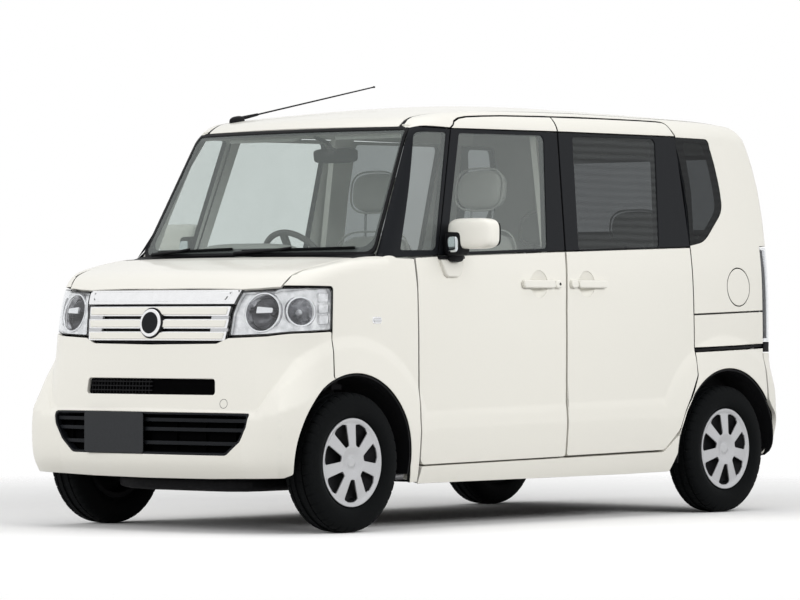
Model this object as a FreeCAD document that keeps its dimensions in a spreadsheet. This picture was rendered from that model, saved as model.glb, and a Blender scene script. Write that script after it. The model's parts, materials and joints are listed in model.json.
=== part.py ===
import FreeCAD, Part
import math
import os
from FreeCAD import Placement, Rotation, Vector

# A tall kei car with two front doors on hinges, two sliding rear doors and a tailgate.
# X is across the car, positive to the car's left; Y is along it, the nose at -Y; Z is up from the floor.
# The origin is on the floor, under the middle of the car.

SIZES = [  # alias, millimetres
    ("body_length", 3395),
    ("body_width", 1475),
    ("roof_height", 1780),
    ("front_overhang", 460),
    ("wheelbase", 2520),
    ("track", 1305),
    ("tyre_diameter", 562),
    ("tyre_width", 145),
    ("rim_diameter", 330),
    ("rim_width", 118),
    ("spindle_diameter", 34),
    ("spindle_clearance", 0.3),
    ("hub_inset", 28),
    ("knuckle_inner", 546),
    ("carrier_diameter", 92),
    ("ball_diameter", 32),
    ("upright_height", 300),
    ("upright_width", 90),
    ("upright_thickness", 26),
    ("strut_diameter", 48),
    ("strut_length", 250),
    ("spring_diameter", 110),
    ("spring_length", 170),
    ("neck_top", 592),
    ("axle_inner", 500),
    ("drum_diameter", 190),
    ("drum_width", 30),
    ("beam_diameter", 64),
    ("damper_diameter", 52),
    ("engine_width", 720),
    ("engine_length", 395),
    ("engine_height", 605),
    ("radiator_width", 660),
    ("radiator_height", 439),
    ("tank_width", 600),
    ("tank_length", 800),
    ("column_diameter", 64),
    ("kingpin_offset", 600),
    ("arch_radius", 345),
    ("panel_gap", 6),
    ("panel_wall", 26),
    ("tailgate_wall", 45),
    ("glass_thickness", 5),
    ("door_flange", 15),
    ("flange_step", 20),
    ("floor_top", 285),
    ("floor_thickness", 40),
    ("load_floor_top", 470),
    ("seat_offset", 330),
    ("seat_width", 480),
    ("steering_wheel_diameter", 370),
    ("steering_rim", 26),
    ("antenna_length", 885),
    ("antenna_rod", 7),
    ("fuel_lid_diameter", 168),
    ("plate_bolt_spacing", 210),
    ("plate_bolt_hole", 6),
    ("plate_bolt_height", 65),
    ("plate_width", 330),
    ("plate_height", 165),
    ("mirror_width", 205),
    ("mirror_height", 125),
    ("mirror_depth", 95),
]

doc = FreeCAD.newDocument("KeiCar")
sheet = doc.addObject("Spreadsheet::Sheet", "Sizes")
for row, (alias, value) in enumerate(SIZES, 1):
    sheet.set(f"A{row}", alias)
    sheet.set(f"B{row}", str(value))
    sheet.setAlias(f"B{row}", alias)
doc.recompute()
size = {alias: float(sheet.get(alias)) for alias, _ in SIZES}

NOSE = -size["body_length"] / 2
TAIL = size["body_length"] / 2
HALF_WIDTH = size["body_width"] / 2
ROOF = size["roof_height"]
FRONT_AXLE = NOSE + size["front_overhang"]
REAR_AXLE = FRONT_AXLE + size["wheelbase"]
AXLE_HEIGHT = size["tyre_diameter"] / 2
WHEEL_X = size["track"] / 2
GAP = size["panel_gap"] / 2
BELT = 1130
SIDES = [("left", 1), ("right", -1)]
FAR = 2500


# ---- outlines and solids -------------------------------------------------------------------------

def wire(corners, place):
    """A closed wire through corners (a, b) or (a, b, rounding radius); place(a, b) gives the point in space."""
    stops = []
    for index, corner in enumerate(corners):
        here = Vector(corner[0], corner[1], 0)
        before = Vector(*corners[index - 1][:2], 0) - here
        after = Vector(*corners[(index + 1) % len(corners)][:2], 0) - here
        if len(corner) < 3:
            stops.append((here, None, here))
            continue
        half = before.getAngle(after) / 2
        reach = corner[2] / math.tan(half)
        inward = (before.normalize() + after.normalize()).normalize()
        middle = here + inward * (corner[2] / math.sin(half) - corner[2])
        stops.append((here + before * reach, middle, here + after * reach))
    edges = []
    for index, (start, middle, end) in enumerate(stops):
        if middle:
            points = [place(p.x, p.y) for p in (start, middle, end)]
            edges.append(Part.Arc(*points).toShape())
        following = stops[(index + 1) % len(stops)][0]
        if end.distanceToPoint(following) > 1e-5:
            edges.append(Part.makeLine(place(end.x, end.y), place(following.x, following.y)))
    return Part.Wire(edges)


PLACES = {
    "x": (lambda low: lambda a, b: Vector(low, a, b), Vector(1, 0, 0)),
    "y": (lambda low: lambda a, b: Vector(a, low, b), Vector(0, 1, 0)),
    "z": (lambda low: lambda a, b: Vector(a, b, low), Vector(0, 0, 1)),
}


def prism(corners, axis, low, high, grow=0.0):
    """An outline, grown or shrunk, pushed along an axis. Its two numbers are the other two axes in order."""
    place, way = PLACES[axis]
    face = Part.Face(wire(corners, place(low)))
    if grow:
        face = face.makeOffset2D(grow)
    return face.extrude(way * (high - low))


def block(x, y, z):
    """A box from three (low, high) pairs."""
    return Part.makeBox(x[1] - x[0], y[1] - y[0], z[1] - z[0], Vector(x[0], y[0], z[0]))


def rod(start, end, radius):
    """A round bar from start to end."""
    along = Vector(*end) - Vector(*start)
    return Part.makeCylinder(radius, along.Length, Vector(*start), along)


def mirrored(half):
    """Both halves of an outline that is given up its +X side."""
    return half + [(-corner[0], *corner[1:]) for corner in reversed(half) if corner[0]]


# ---- the body's outer form -----------------------------------------------------------------------

def crowned_end(tip, half_width, crown, corner, outward):
    """The end of a plan outline: a wide arc through tip, then a rounded corner on each side."""
    slant = math.asin((half_width - corner - 10) / crown)
    apex = tip + outward * crown * (1 / math.cos(slant) - 1)
    shoulder = apex - outward * half_width * math.tan(slant)
    return [(half_width, shoulder, corner), (0, apex, crown), (-half_width, shoulder, corner)]


def plan(front_tip, front_crown, front_corner, rear_tip, rear_corner):
    """A plan outline, from the front's left corner round to the rear's left corner."""
    front = crowned_end(front_tip, HALF_WIDTH, front_crown, front_corner, -1)
    rear = crowned_end(rear_tip, HALF_WIDTH, 9000, rear_corner, 1)
    return front + rear[::-1]


SIDE_VIEW = [  # y, z, radius
    (NOSE + 62, 215, 30),
    (NOSE, 305, 60),
    (NOSE, 470, 260),
    (NOSE + 38, 755, 200),
    (NOSE + 90, 975, 22),
    (NOSE + 140, 1030, 60),
    (NOSE + 250, 1068, 400),
    (-1120, 1113, 20),
    (-823, 1662, 28),
    (-500, 1729, 400),
    (-100, 1769, 1500),
    (300, ROOF + 2, 2500),
    (1000, 1774, 2500),
    (1380, 1753, 600),
    (1518, 1735, 70),
    (1602, 1610, 300),
    (1664, 1360, 400),
    (1664, 690, 60),
    (TAIL, 610, 40),
    (TAIL, 300, 50),
    (TAIL - 50, 235, 30),
    (880, 232),
    (850, 188),
    (-890, 174),
    (-930, 215),
]
ROOF_CROWN = 2400
SECTION = [  # x, z, radius, up the left side
    (680, 150),
    (688, 262, 60),
    (712, 470, 150),
    (708, 950, 400),
    (697, BELT, 200),
    (616, 1732, 70),
    (0, ROOF + 17.3, ROOF_CROWN),
]
SLABS = [  # floor, ceiling, front tip, front crown, front corner, rear tip, rear corner
    (100, 620, NOSE, 5000, 170, TAIL, 70),
    (620, 1112, NOSE + 38, 2400, 150, 1664, 80),
]
SCREEN_BASE = (-1120, 1112)
SCREEN_RAKE = 0.542
FLARE = {"outer": 505, "lip": 360, "skin": 703}


def body_form(depth=0.0):
    """The closed outer form, or the same form moved inwards by depth, as side view, cross-section and plans crossed."""
    side_view = prism(SIDE_VIEW, "x", -FAR, FAR, -depth)
    section = prism(mirrored(SECTION), "y", -FAR, FAR, -depth)
    if not depth:
        flares = [flare(axle, side) for axle in (FRONT_AXLE, REAR_AXLE) for _, side in SIDES]
        section = section.multiFuse(flares)
    plans = [prism(plan(*ends), "z", floor, ceiling, -depth) for floor, ceiling, *ends in SLABS]
    base_y, base_z = SCREEN_BASE
    greenhouse = FAR - base_z
    outline = Part.Face(wire(plan(base_y, 2400, 60, 1664, 60), PLACES["z"][0](base_z)))
    outline = outline.makeOffset2D(-depth) if depth else outline
    plans.append(outline.extrude(Vector(0, SCREEN_RAKE, 1) * greenhouse))
    plans.append(prism(plan(-300, 2400, 60, 1664, 60), "z", base_z, FAR, -depth))
    return side_view.common(section).common(plans[0].multiFuse(plans[1:]))


def flare(axle, side):
    """The swelling of the skin round a wheel."""
    reach = HALF_WIDTH - FLARE["skin"]
    centre = Vector(FLARE["skin"] * side, axle, AXLE_HEIGHT)
    return Part.makeCone(FLARE["outer"], FLARE["lip"], reach, centre, Vector(side, 0, 0))


# ---- outlines of the panels ----------------------------------------------------------------------

# side outlines: y, z, radius
FRONT_DOOR = [
    (-817, 257, 30), (-826, 1000), (-836, 1106, 6), (-684, 1113, 10), (-513, 1655), (-497, 1704, 45),
    (172, 1722, 8), (188, 1657), (155, 1143), (145, 900), (143, 270, 12),
]
SLIDING_DOOR = [
    (148, 272, 12), (836, 282, 40), (932, 369, 60), (968, 456, 60), (1056, 608, 30), (1053, 872), (1048, 1172),
    (1025, 1658, 30), (985, 1722, 45), (177, 1722, 8), (193, 1657), (160, 1143), (150, 900),
]
FRONT_WINDOW = [(-469, 1622, 20), (92, 1632, 25), (33, 1154, 20), (-631, 1129, 20)]
SLIDING_WINDOW = [(291, 1630, 20), (875, 1640, 25), (821, 1169, 20), (251, 1148, 20)]
QUARTER_WINDOW = [(-739, 1621, 18), (-552, 1627, 18), (-700, 1137, 18), (-921, 1134, 15)]
REAR_QUARTER_WINDOW = [
    (1060, 1648, 10), (1270, 1652, 25), (1305, 1429, 200), (1310, 1327, 50), (1129, 1204, 90), (1080, 1190, 10),
]
CABIN_SIDE = [
    (-930, 285), (-930, 1040), (-1075, 1075), (-1100, FAR), (1619, FAR), (1619, 470), (970, 470), (950, 285),
]
# across outlines, up the left side: x, z, radius
CABIN_SECTION = [(610, 240), (610, 1075, 10), (652, 1120, 10), (584, 1640), (571, 1708), (571, FAR)]
TAILGATE = [(598, 500, 30), (606, 700), (612, 1180), (592, 1450), (548, 1690, 40), (540, FAR)]
TAILGATE_WINDOW = [(530, 1235, 40), (505, 1610, 45)]
WINDSCREEN = [(652, 1126, 25), (590, 1634, 25)]
TAILGATE_FRONT = 1487
BONNET = {"half_width": 600, "rear": -1157, "front_floor": 978}
FRONT_CUT = -1352
LAMP_FLOOR = 762
GRILLE_HALF_WIDTH = 405
FUEL_LID = (1390, 998)
LINER = 4
LINER_END = 684
PLATES_AT = [  # middle of the plate x, z, its flat pad's face y, how far the pad and the holes run inwards
    (-188, 397, NOSE + 1, 30),
    (0, 840, 1664, -30),
]
TAIL_LAMP = {"inner": 618, "front": 1570, "floor": 711, "ceiling": 1180, "depth": 60}


# ---- the hollow shell ----------------------------------------------------------------------------

plate_pads = []
plate_holes = []
for middle_x, middle_z, face_y, depth in PLATES_AT:
    half_width = size["plate_width"] / 2
    half_height = size["plate_height"] / 2
    pad_span = sorted((face_y, face_y + depth / 2))
    plate_pads.append(block((middle_x - half_width, middle_x + half_width), pad_span,
                            (middle_z - half_height, middle_z + half_height)))
    for offset in (-size["plate_bolt_spacing"] / 2, size["plate_bolt_spacing"] / 2):
        bolt_x = middle_x + offset
        bolt_z = middle_z + size["plate_bolt_height"]
        hole = rod((bolt_x, face_y - depth, bolt_z), (bolt_x, face_y + depth * 2, bolt_z), size["plate_bolt_hole"] / 2)
        plate_holes.append(hole)
form = body_form().fuse(plate_pads).cut(plate_holes)
core = body_form(size["panel_wall"])
flange_core = body_form(size["door_flange"])
lid_core = body_form(12)
lamp_core = body_form(80)
glass = body_form(3).cut(body_form(3 + size["glass_thickness"]))

cabin = core.common(prism(CABIN_SIDE, "x", -FAR, FAR)).common(prism(mirrored(CABIN_SECTION), "y", -FAR, FAR))
bay = core.common(block((-FAR, FAR), (-FAR, -960), (0, 1100)))
under_bay = block((-600, 600), (-1570, -960), (150, 320))
floor_bottom = size["floor_top"] - size["floor_thickness"]
load_floor_bottom = size["load_floor_top"] - size["floor_thickness"]
under_floor = block((-620, 620), (-960, 1000), (100, floor_bottom))
under_load = block((-620, 620), (1000, 1640), (100, load_floor_bottom))
arches = []
for axle, inner in ((FRONT_AXLE, 400), (REAR_AXLE, 550)):
    for _, side in SIDES:
        arches.append(rod((inner * side, axle, AXLE_HEIGHT), (FAR * side, axle, AXLE_HEIGHT), size["arch_radius"]))
        inside = rod((inner * side, axle, AXLE_HEIGHT), (LINER_END * side, axle, AXLE_HEIGHT), size["arch_radius"] + LINER)
        arches.append(inside)
        near, far = sorted((inner * side, FAR * side))
        arches.append(block((near, far), (axle - size["arch_radius"], axle + size["arch_radius"]), (0, AXLE_HEIGHT)))
shell = form.cut([cabin, bay, under_bay, under_floor, under_load] + arches)


def keep(label, shape):
    """Puts a finished shape in the document as one sub-part."""
    piece = doc.addObject("Part::Feature", label)
    piece.Label = label
    piece.Shape = shape
    piece.Placement = Placement()
    nodes.append(piece)
    return piece


nodes = []


def side_span(side, inner=400):
    return sorted((inner * side, FAR * side))


def side_prism(corners, side, grow=0.0, inner=400):
    """A side outline through one side of the car."""
    low, high = side_span(side, inner)
    return prism(corners, "x", low, high, grow)


# the side walls: from the door trims outwards, and under the belt only what lies outside the cabin
side_walls = []
for _, side in SIDES:
    side_walls.append(block(side_span(side, 611), (-FAR, FAR), (0, 1090)))
    side_walls.append(block(side_span(side, 566), (-FAR, FAR), (1090, FAR)))
side_walls = shell.common(side_walls[0].multiFuse(side_walls[1:]))

# doors: an outer flange over the whole outline and a thicker box that starts a step further in
for name, side in SIDES:
    window = side_prism(FRONT_WINDOW, side)
    leaf = side_walls.common(side_prism(FRONT_DOOR, side, -GAP))
    box = leaf.common(side_prism(FRONT_DOOR, side, -GAP - size["flange_step"]))
    keep("front_door_" + name, leaf.cut(flange_core).fuse(box).cut(window).removeSplitter())
    keep("front_door_glass_" + name, glass.common(window))
    window = side_prism(SLIDING_WINDOW, side)
    sliding = side_walls.common(side_prism(SLIDING_DOOR, side, -GAP)).cut(window)
    keep("sliding_door_" + name, sliding)

windows = [side_prism(SLIDING_WINDOW, side) for _, side in SIDES]
keep("sliding_door_glass", glass.common(windows[0].fuse(windows[1])))
quarters = [side_prism(outline, side) for outline in (QUARTER_WINDOW, REAR_QUARTER_WINDOW) for _, side in SIDES]
keep("quarter_windows", glass.common(quarters[0].multiFuse(quarters[1:])))
screen = prism(mirrored(WINDSCREEN), "y", -1500, -600)
keep("windscreen", glass.common(screen))

# bonnet, tailgate and fuel lid
BONNET_BOX = (
    (-BONNET["half_width"], BONNET["half_width"]), (-FAR, BONNET["rear"]), (BONNET["front_floor"], 1150),
)


def inset_block(spans, depth):
    return block(*[(low + depth, high - depth) for low, high in spans])


keep("bonnet", shell.common(inset_block(BONNET_BOX, GAP)))
across = (-FAR, FAR)
gate = prism(mirrored(TAILGATE), "y", TAILGATE_FRONT + GAP, FAR, -GAP)
gate_hole = prism(mirrored(TAILGATE), "y", TAILGATE_FRONT - GAP, FAR, GAP)
gate_window = prism(mirrored(TAILGATE_WINDOW), "y", 1300, FAR)
thick = body_form(size["tailgate_wall"])
keep("tailgate", form.common(gate).cut(thick).cut(gate_window))
keep("tailgate_glass", glass.common(gate_window))
lid_y, lid_z = FUEL_LID
lid_radius = size["fuel_lid_diameter"] / 2
lid = rod((600, lid_y, lid_z), (FAR, lid_y, lid_z), lid_radius)
keep("fuel_lid", form.common(lid).cut(lid_core))
lid_well = rod((650, lid_y, lid_z), (FAR, lid_y, lid_z), lid_radius + size["panel_gap"])

moving = [side_prism(outline, side, GAP, 560) for outline in (FRONT_DOOR, SLIDING_DOOR) for _, side in SIDES]
moving += [inset_block(BONNET_BOX, -GAP), gate_hole, lid_well, screen] + quarters
fixed = shell.cut(moving)


def take(label, *spans):
    """Cuts a box out of what is left of the fixed shell and keeps it as one sub-part."""
    global fixed
    regions = [block(*span) for span in spans]
    region = regions[0].multiFuse(regions[1:]) if len(regions) > 1 else regions[0]
    keep(label, fixed.common(region))
    fixed = fixed.cut(region)


# lamps are blocks of their own depth, cut out of the wall
lamp = TAIL_LAMP
head_room = ((-FAR, FRONT_CUT), (LAMP_FLOOR, BONNET["front_floor"]))
tail_room = ((lamp["front"], FAR), (lamp["floor"], lamp["ceiling"]))
head_spans = [(side_span(side, GRILLE_HALF_WIDTH), *head_room) for _, side in SIDES]
tail_spans = [(side_span(side, lamp["inner"]), *tail_room) for _, side in SIDES]
for label, spans, inside in (("headlamps", head_spans, lamp_core), ("tail_lamps", tail_spans, thick)):
    region = block(*spans[0]).fuse(block(*spans[1]))
    keep(label, form.common(region).cut(inside))
    fixed = fixed.cut(region)

take("grille", ((-GRILLE_HALF_WIDTH, GRILLE_HALF_WIDTH), *head_room))
take("front_bumper", (across, (-FAR, FRONT_CUT), (0, LAMP_FLOOR)))
take("rear_bumper", (across, (1570, FAR), (0, lamp["floor"])))
take("roof_panel", ((-550, 550), (-900, TAILGATE_FRONT), (1632, FAR)))
take("cowl", ((-600, 600), (-1160, -960), (1000, 1126)))
take("firewall", ((-610, 610), (-960, -930), (0, 1126)))
take("floor_pan", ((-574, 574), (-960, 1619), (0, 500)))
take("front_fenders", *[(side_span(side, 400), (-FAR, -842), (0, 1112)) for _, side in SIDES])

# pillars and rails that the doors close against, just inside the doors
FRAME_STRIPS = [  # first y, last y, first z, last z
    (95, 215, 285, 1745),
    (-760, 1040, 1650, 1745),
    (-925, -850, 285, 1060),
    (-925, 1040, 285, 325),
]
band = prism(mirrored(CABIN_SECTION), "y", -930, 1060, -size["panel_gap"])
band = band.cut(prism(mirrored(CABIN_SECTION), "y", -FAR, FAR, -36)).common(core)
frames = []
for name, side in SIDES:
    strips = []
    for first_y, last_y, first_z, last_z in FRAME_STRIPS:
        strips.append(block(side_span(side, 530), (first_y, last_y), (first_z, last_z)))
    frame = band.common(strips[0].multiFuse(strips[1:]))
    frame = frame.cut(arches).removeSplitter()
    frames.append(frame)
    keep("door_aperture_" + name, frame)
    half = fixed.common(block(side_span(side, 0), across, (0, FAR)))
    keep("side_frame_" + name, half.cut(arches).removeSplitter())

# ---- wheels, steering and axles ------------------------------------------------------------------

def bind(thing, **expressions):
    """Ties properties of an object to cells of the sheet."""
    for name, expression in expressions.items():
        thing.setExpression(name.replace("_at_", "."), expression)
    return thing


def primitive(kind, label, at=(0, 0, 0), axis=(0, 0, 1), **expressions):
    """A Part primitive, its own Z turned to axis and its sizes tied to the sheet."""
    thing = doc.addObject("Part::" + kind, label)
    thing.Placement = Placement(Vector(*at), Rotation(Vector(0, 0, 1), Vector(*axis)))
    return bind(thing, **expressions)


def joined(label, parts):
    """Parts of one piece, fused as one sub-part."""
    whole = doc.addObject("Part::MultiFuse", label)
    whole.Label = label
    whole.Shapes = parts
    nodes.append(whole)
    return whole


def turned(label, centre_x, side, axle, profile):
    """A piece turned about an axle: a body with a sketched profile of (along the axle, radius) corners, revolved."""
    body = doc.addObject("PartDesign::Body", label)
    body.Label = label
    sketch = body.newObject("Sketcher::SketchObject", label + "_profile")
    plane = next(item for item in body.Origin.OriginFeatures if item.Role == "XY_Plane")
    sketch.AttachmentSupport = [(plane, "")]
    sketch.MapMode = "FlatFace"
    corners = [Vector(along * side, radius, 0) for along, radius in profile]
    for start, end in zip(corners, corners[1:] + corners[:1]):
        sketch.addGeometry(Part.LineSegment(start, end), False)
    turn = body.newObject("PartDesign::Revolution", label + "_turn")
    turn.Profile = sketch
    turn.ReferenceAxis = (sketch, ["H_Axis"])
    turn.Angle = 360
    body.Placement = Placement(Vector(centre_x, axle, AXLE_HEIGHT), Rotation())
    bind(body, Placement_at_Base_at_z="Sizes.tyre_diameter / 2")
    nodes.append(body)
    return body


half_tyre = size["tyre_width"] / 2
tyre_radius = size["tyre_diameter"] / 2
rim_radius = size["rim_diameter"] / 2
half_rim = size["rim_width"] / 2
TYRE = [  # along the axle from the wheel's middle, radius
    (-half_rim + 6, rim_radius),
    (-half_rim + 6, rim_radius + 9),
    (-half_tyre + 6, rim_radius + 16),
    (-half_tyre, rim_radius + 55),
    (-half_tyre + 7, tyre_radius - 18),
    (-half_tyre + 20, tyre_radius - 3),
    (0, tyre_radius),
    (half_tyre - 20, tyre_radius - 3),
    (half_tyre - 7, tyre_radius - 18),
    (half_tyre, rim_radius + 55),
    (half_tyre - 6, rim_radius + 16),
    (half_rim - 6, rim_radius + 9),
    (half_rim - 6, rim_radius),
]
bore = size["spindle_diameter"] / 2 + size["spindle_clearance"]
hub_in = -size["hub_inset"]
WHEEL = [  # a barrel with a dished disc and a blind hub
    (-half_rim, rim_radius + 8),
    (-half_rim, rim_radius - 12),
    (2, rim_radius - 20),
    (10, 96),
    (22, 70),
    (16, 45),
    (hub_in, 45),
    (hub_in, bore),
    (8, bore),
    (8, 0),
    (38, 0),
    (38, 40),
    (30, 96),
    (half_rim - 14, rim_radius - 14),
    (half_rim + 1, rim_radius - 8),
    (half_rim + 1, rim_radius + 8),
    (half_rim - 6, rim_radius + 8),
    (half_rim - 6, rim_radius),
    (-half_rim + 6, rim_radius),
    (-half_rim + 6, rim_radius + 8),
]
for end, axle in (("front", FRONT_AXLE), ("rear", REAR_AXLE)):
    for name, side in SIDES:
        turned(f"tyre_{end}_{name}", WHEEL_X * side, side, axle, TYRE)
        turned(f"wheel_{end}_{name}", WHEEL_X * side, side, axle, WHEEL)

kingpin = size["kingpin_offset"]
knuckle_inner = size["knuckle_inner"]


def stood(label, side, inner, outer, first_y, bottom, **expressions):
    """A box on one side of the car, from inner to outer across it."""
    thing = primitive("Box", label, (min(inner * side, outer * side), first_y, bottom), **expressions)
    return thing


for name, side in SIDES:
    inner_end = (knuckle_inner * side, FRONT_AXLE, AXLE_HEIGHT)
    spindle = primitive("Cylinder", "spindle_" + name, inner_end, (side, 0, 0), Radius="Sizes.spindle_diameter / 2",
                        Height="Sizes.track / 2 + 6 - Sizes.knuckle_inner")
    carrier = primitive("Cylinder", "carrier_" + name, inner_end, (side, 0, 0),
                        Radius="Sizes.carrier_diameter / 2", Height="40")
    upright = stood("upright_" + name, side, knuckle_inner, knuckle_inner + size["upright_thickness"],
                    FRONT_AXLE - size["upright_width"] / 2, 290, Length="Sizes.upright_thickness",
                    Width="Sizes.upright_width", Height="Sizes.upright_height")
    neck = stood("neck_" + name, side, knuckle_inner, knuckle_inner + 80, FRONT_AXLE - 30, size["neck_top"] - 20,
                 Length="80", Width="60", Height="20")
    ball = primitive("Cylinder", "ball_" + name, (kingpin * side, FRONT_AXLE, 200),
                     Radius="Sizes.ball_diameter / 2", Height="70")
    foot = stood("foot_" + name, side, knuckle_inner, kingpin, FRONT_AXLE - 18, 222,
                 Length="Sizes.kingpin_offset - Sizes.knuckle_inner", Width="36", Height="24")
    joined("knuckle_" + name, [spindle, upright, carrier, neck, ball, foot])

# the lower arms reach under the kingpins from a cross member
arms = []
for _, side in SIDES:
    root = 300 * side
    reach = (kingpin + 22) * side
    arm = prism([
        (root, FRONT_AXLE + 150, 20), (root, FRONT_AXLE - 40, 20),
        (reach, FRONT_AXLE - 22, 20), (reach, FRONT_AXLE + 22, 20),
    ], "z", 176, 199)
    arms.append(arm)
    arms.append(block(sorted((root, 345 * side)), (FRONT_AXLE - 60, FRONT_AXLE + 240), (176, 245)))
cross_member = block((-345, 345), (FRONT_AXLE + 60, FRONT_AXLE + 240), (196, 245))
rack = rod((-390, FRONT_AXLE + 160, 262), (390, FRONT_AXLE + 160, 262), 22)
keep("front_subframe", cross_member.multiFuse(arms + [rack]).removeSplitter())

struts = []
for name, side in SIDES:
    foot = (kingpin * side, FRONT_AXLE, size["neck_top"])
    tube = primitive("Cylinder", "strut_tube_" + name, foot,
                     Radius="Sizes.strut_diameter / 2", Height="Sizes.strut_length")
    spring = primitive("Cylinder", "strut_spring_" + name, (kingpin * side, FRONT_AXLE, 640),
                       Radius="Sizes.spring_diameter / 2", Height="Sizes.spring_length")
    struts += [tube, spring]
joined("front_struts", struts)

# the rear arms run forward to brackets under the floor
axle_inner = size["axle_inner"]
TRAILING_ARM = [
    (900, 200, 15), (900, 245), (1003, 245), (1030, 305),
    (1342, 305, 20), (1342, 245, 20), (1060, 235), (1000, 200, 15),
]
beam = primitive("Cylinder", "beam", (-520, REAR_AXLE - 150, 270), (1, 0, 0),
                 Radius="Sizes.beam_diameter / 2", Height="1040")
axle_parts = [beam]
for name, side in SIDES:
    arm = doc.addObject("Part::Feature", "trailing_arm_" + name)
    arm.Shape = prism(TRAILING_ARM, "x", *sorted((axle_inner * side, (axle_inner + 36) * side)))
    stub = primitive("Cylinder", "stub_" + name, (axle_inner * side, REAR_AXLE, AXLE_HEIGHT), (side, 0, 0),
                     Radius="Sizes.spindle_diameter / 2", Height="Sizes.track / 2 + 6 - Sizes.axle_inner")
    drum = primitive("Cylinder", "drum_" + name, ((axle_inner + 40) * side, REAR_AXLE, AXLE_HEIGHT), (side, 0, 0),
                     Radius="Sizes.drum_diameter / 2", Height="Sizes.drum_width")
    hub = primitive("Cylinder", "drum_boss_" + name, ((axle_inner + 20) * side, REAR_AXLE, AXLE_HEIGHT), (side, 0, 0),
                    Radius="40", Height="40")
    damper = primitive("Cylinder", "rear_damper_" + name, ((axle_inner + 5) * side, REAR_AXLE + 40, 250),
                       Radius="Sizes.damper_diameter / 2", Height="180")
    axle_parts += [arm, stub, drum, hub, damper]
joined("rear_axle", axle_parts)

# liners over the wheels; the front ones carry a tower round each strut
liners = []
outside = size["arch_radius"] + LINER
for axle, inner, tower in ((FRONT_AXLE, 400, True), (REAR_AXLE, 550, False)):
    for _, side in SIDES:
        liner = rod((inner * side, axle, AXLE_HEIGHT), (LINER_END * side, axle, AXLE_HEIGHT), outside)
        hollow = rod(((inner + 5) * side, axle, AXLE_HEIGHT), (FAR * side, axle, AXLE_HEIGHT), size["arch_radius"])
        if tower:
            top = size["neck_top"] + size["strut_length"]
            liner = liner.fuse(rod((kingpin * side, axle, 590), (kingpin * side, axle, top + 10), 70))
            hollow = hollow.fuse(rod((kingpin * side, axle, 500), (kingpin * side, axle, top), 63))
        above = block(side_span(side, 300), (axle - 400, axle + 400), (AXLE_HEIGHT + 140, 900))
        liners.append(liner.cut(hollow).common(above).cut([shell] + frames))

keep("wheelhouses", Part.makeCompound(liners))

# ---- engine bay and underside --------------------------------------------------------------------


def box_node(label, corner, length, width, height):
    """A plain block as one sub-part."""
    thing = primitive("Box", label, corner, Length=length, Width=width, Height=height)
    thing.Label = label
    nodes.append(thing)
    return thing


box_node("engine_block", (-360, -1500, 245), "Sizes.engine_width", "Sizes.engine_length", "Sizes.engine_height")
box_node("radiator", (-330, -1600, 241), "Sizes.radiator_width", "40", "Sizes.radiator_height")
box_node("fuel_tank", (-300, -350, 168), "Sizes.tank_width", "Sizes.tank_length", "77")

pipe_path = [(420, -880, 208), (420, 900, 208), (300, 1180, 208), (300, 1440, 260)]
pipe = [rod(start, end, 21) for start, end in zip(pipe_path, pipe_path[1:])]
bends = [Part.makeSphere(21, Vector(*point)) for point in pipe_path[1:-1]]
silencer = rod((-150, 1500, 300), (370, 1500, 300), 75)
tail_pipe = rod((-120, 1500, 262), (-120, 1638, 262), 19)
hangers = [rod((420, 0, 208), (420, 0, floor_bottom), 8)]
hangers += [rod((x, 1500, 300), (x, 1500, load_floor_bottom), 8) for x in (-60, 280)]
keep("exhaust", pipe[0].multiFuse(pipe[1:] + bends + hangers + [silencer, tail_pipe]))

# ---- cabin ---------------------------------------------------------------------------------------

DASHBOARD = [  # y, z, radius
    (-930, 640, 20), (-930, 1046), (-1060, 1078), (-1060, 1096, 10),
    (-640, 1096, 40), (-590, 1000, 60), (-640, 820, 60), (-700, 640, 30),
]
DRIVER_X = -size["seat_offset"]
WHEEL_CENTRE = Vector(DRIVER_X, -408, 1074)
COLUMN_TILT = 28
column_axis = Vector(0, math.cos(math.radians(COLUMN_TILT)), math.sin(math.radians(COLUMN_TILT)))
column_foot = WHEEL_CENTRE - column_axis * 330
column_top = WHEEL_CENTRE - column_axis * 68
column = primitive("Cylinder", "steering_column", column_foot, column_axis,
                   Radius="Sizes.column_diameter / 2", Height="262")
column.Label = "steering_column"
nodes.append(column)
column_hole = rod(column_foot, column_top, size["column_diameter"] / 2)
keep("dashboard", prism(DASHBOARD, "x", -570, 570).cut(column_hole))

rim = primitive("Torus", "steering_rim", WHEEL_CENTRE, column_axis,
                Radius1="(Sizes.steering_wheel_diameter - Sizes.steering_rim) / 2", Radius2="Sizes.steering_rim / 2")
hub = primitive("Cylinder", "steering_hub", WHEEL_CENTRE - column_axis * 60, column_axis, Radius="68", Height="54")
spokes = []
for turn in (0, 180, 270):
    spoke = primitive("Box", f"steering_spoke_{turn}", Length="172", Width="34", Height="14")
    tilt = Rotation(Vector(0, 0, 1), column_axis).multiply(Rotation(Vector(0, 0, 1), turn))
    spoke.Placement = Placement(WHEEL_CENTRE - column_axis * 14 + tilt.multVec(Vector(0, -17, 0)), tilt)
    spokes.append(spoke)
joined("steering_wheel", [rim, hub] + spokes)

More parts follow.
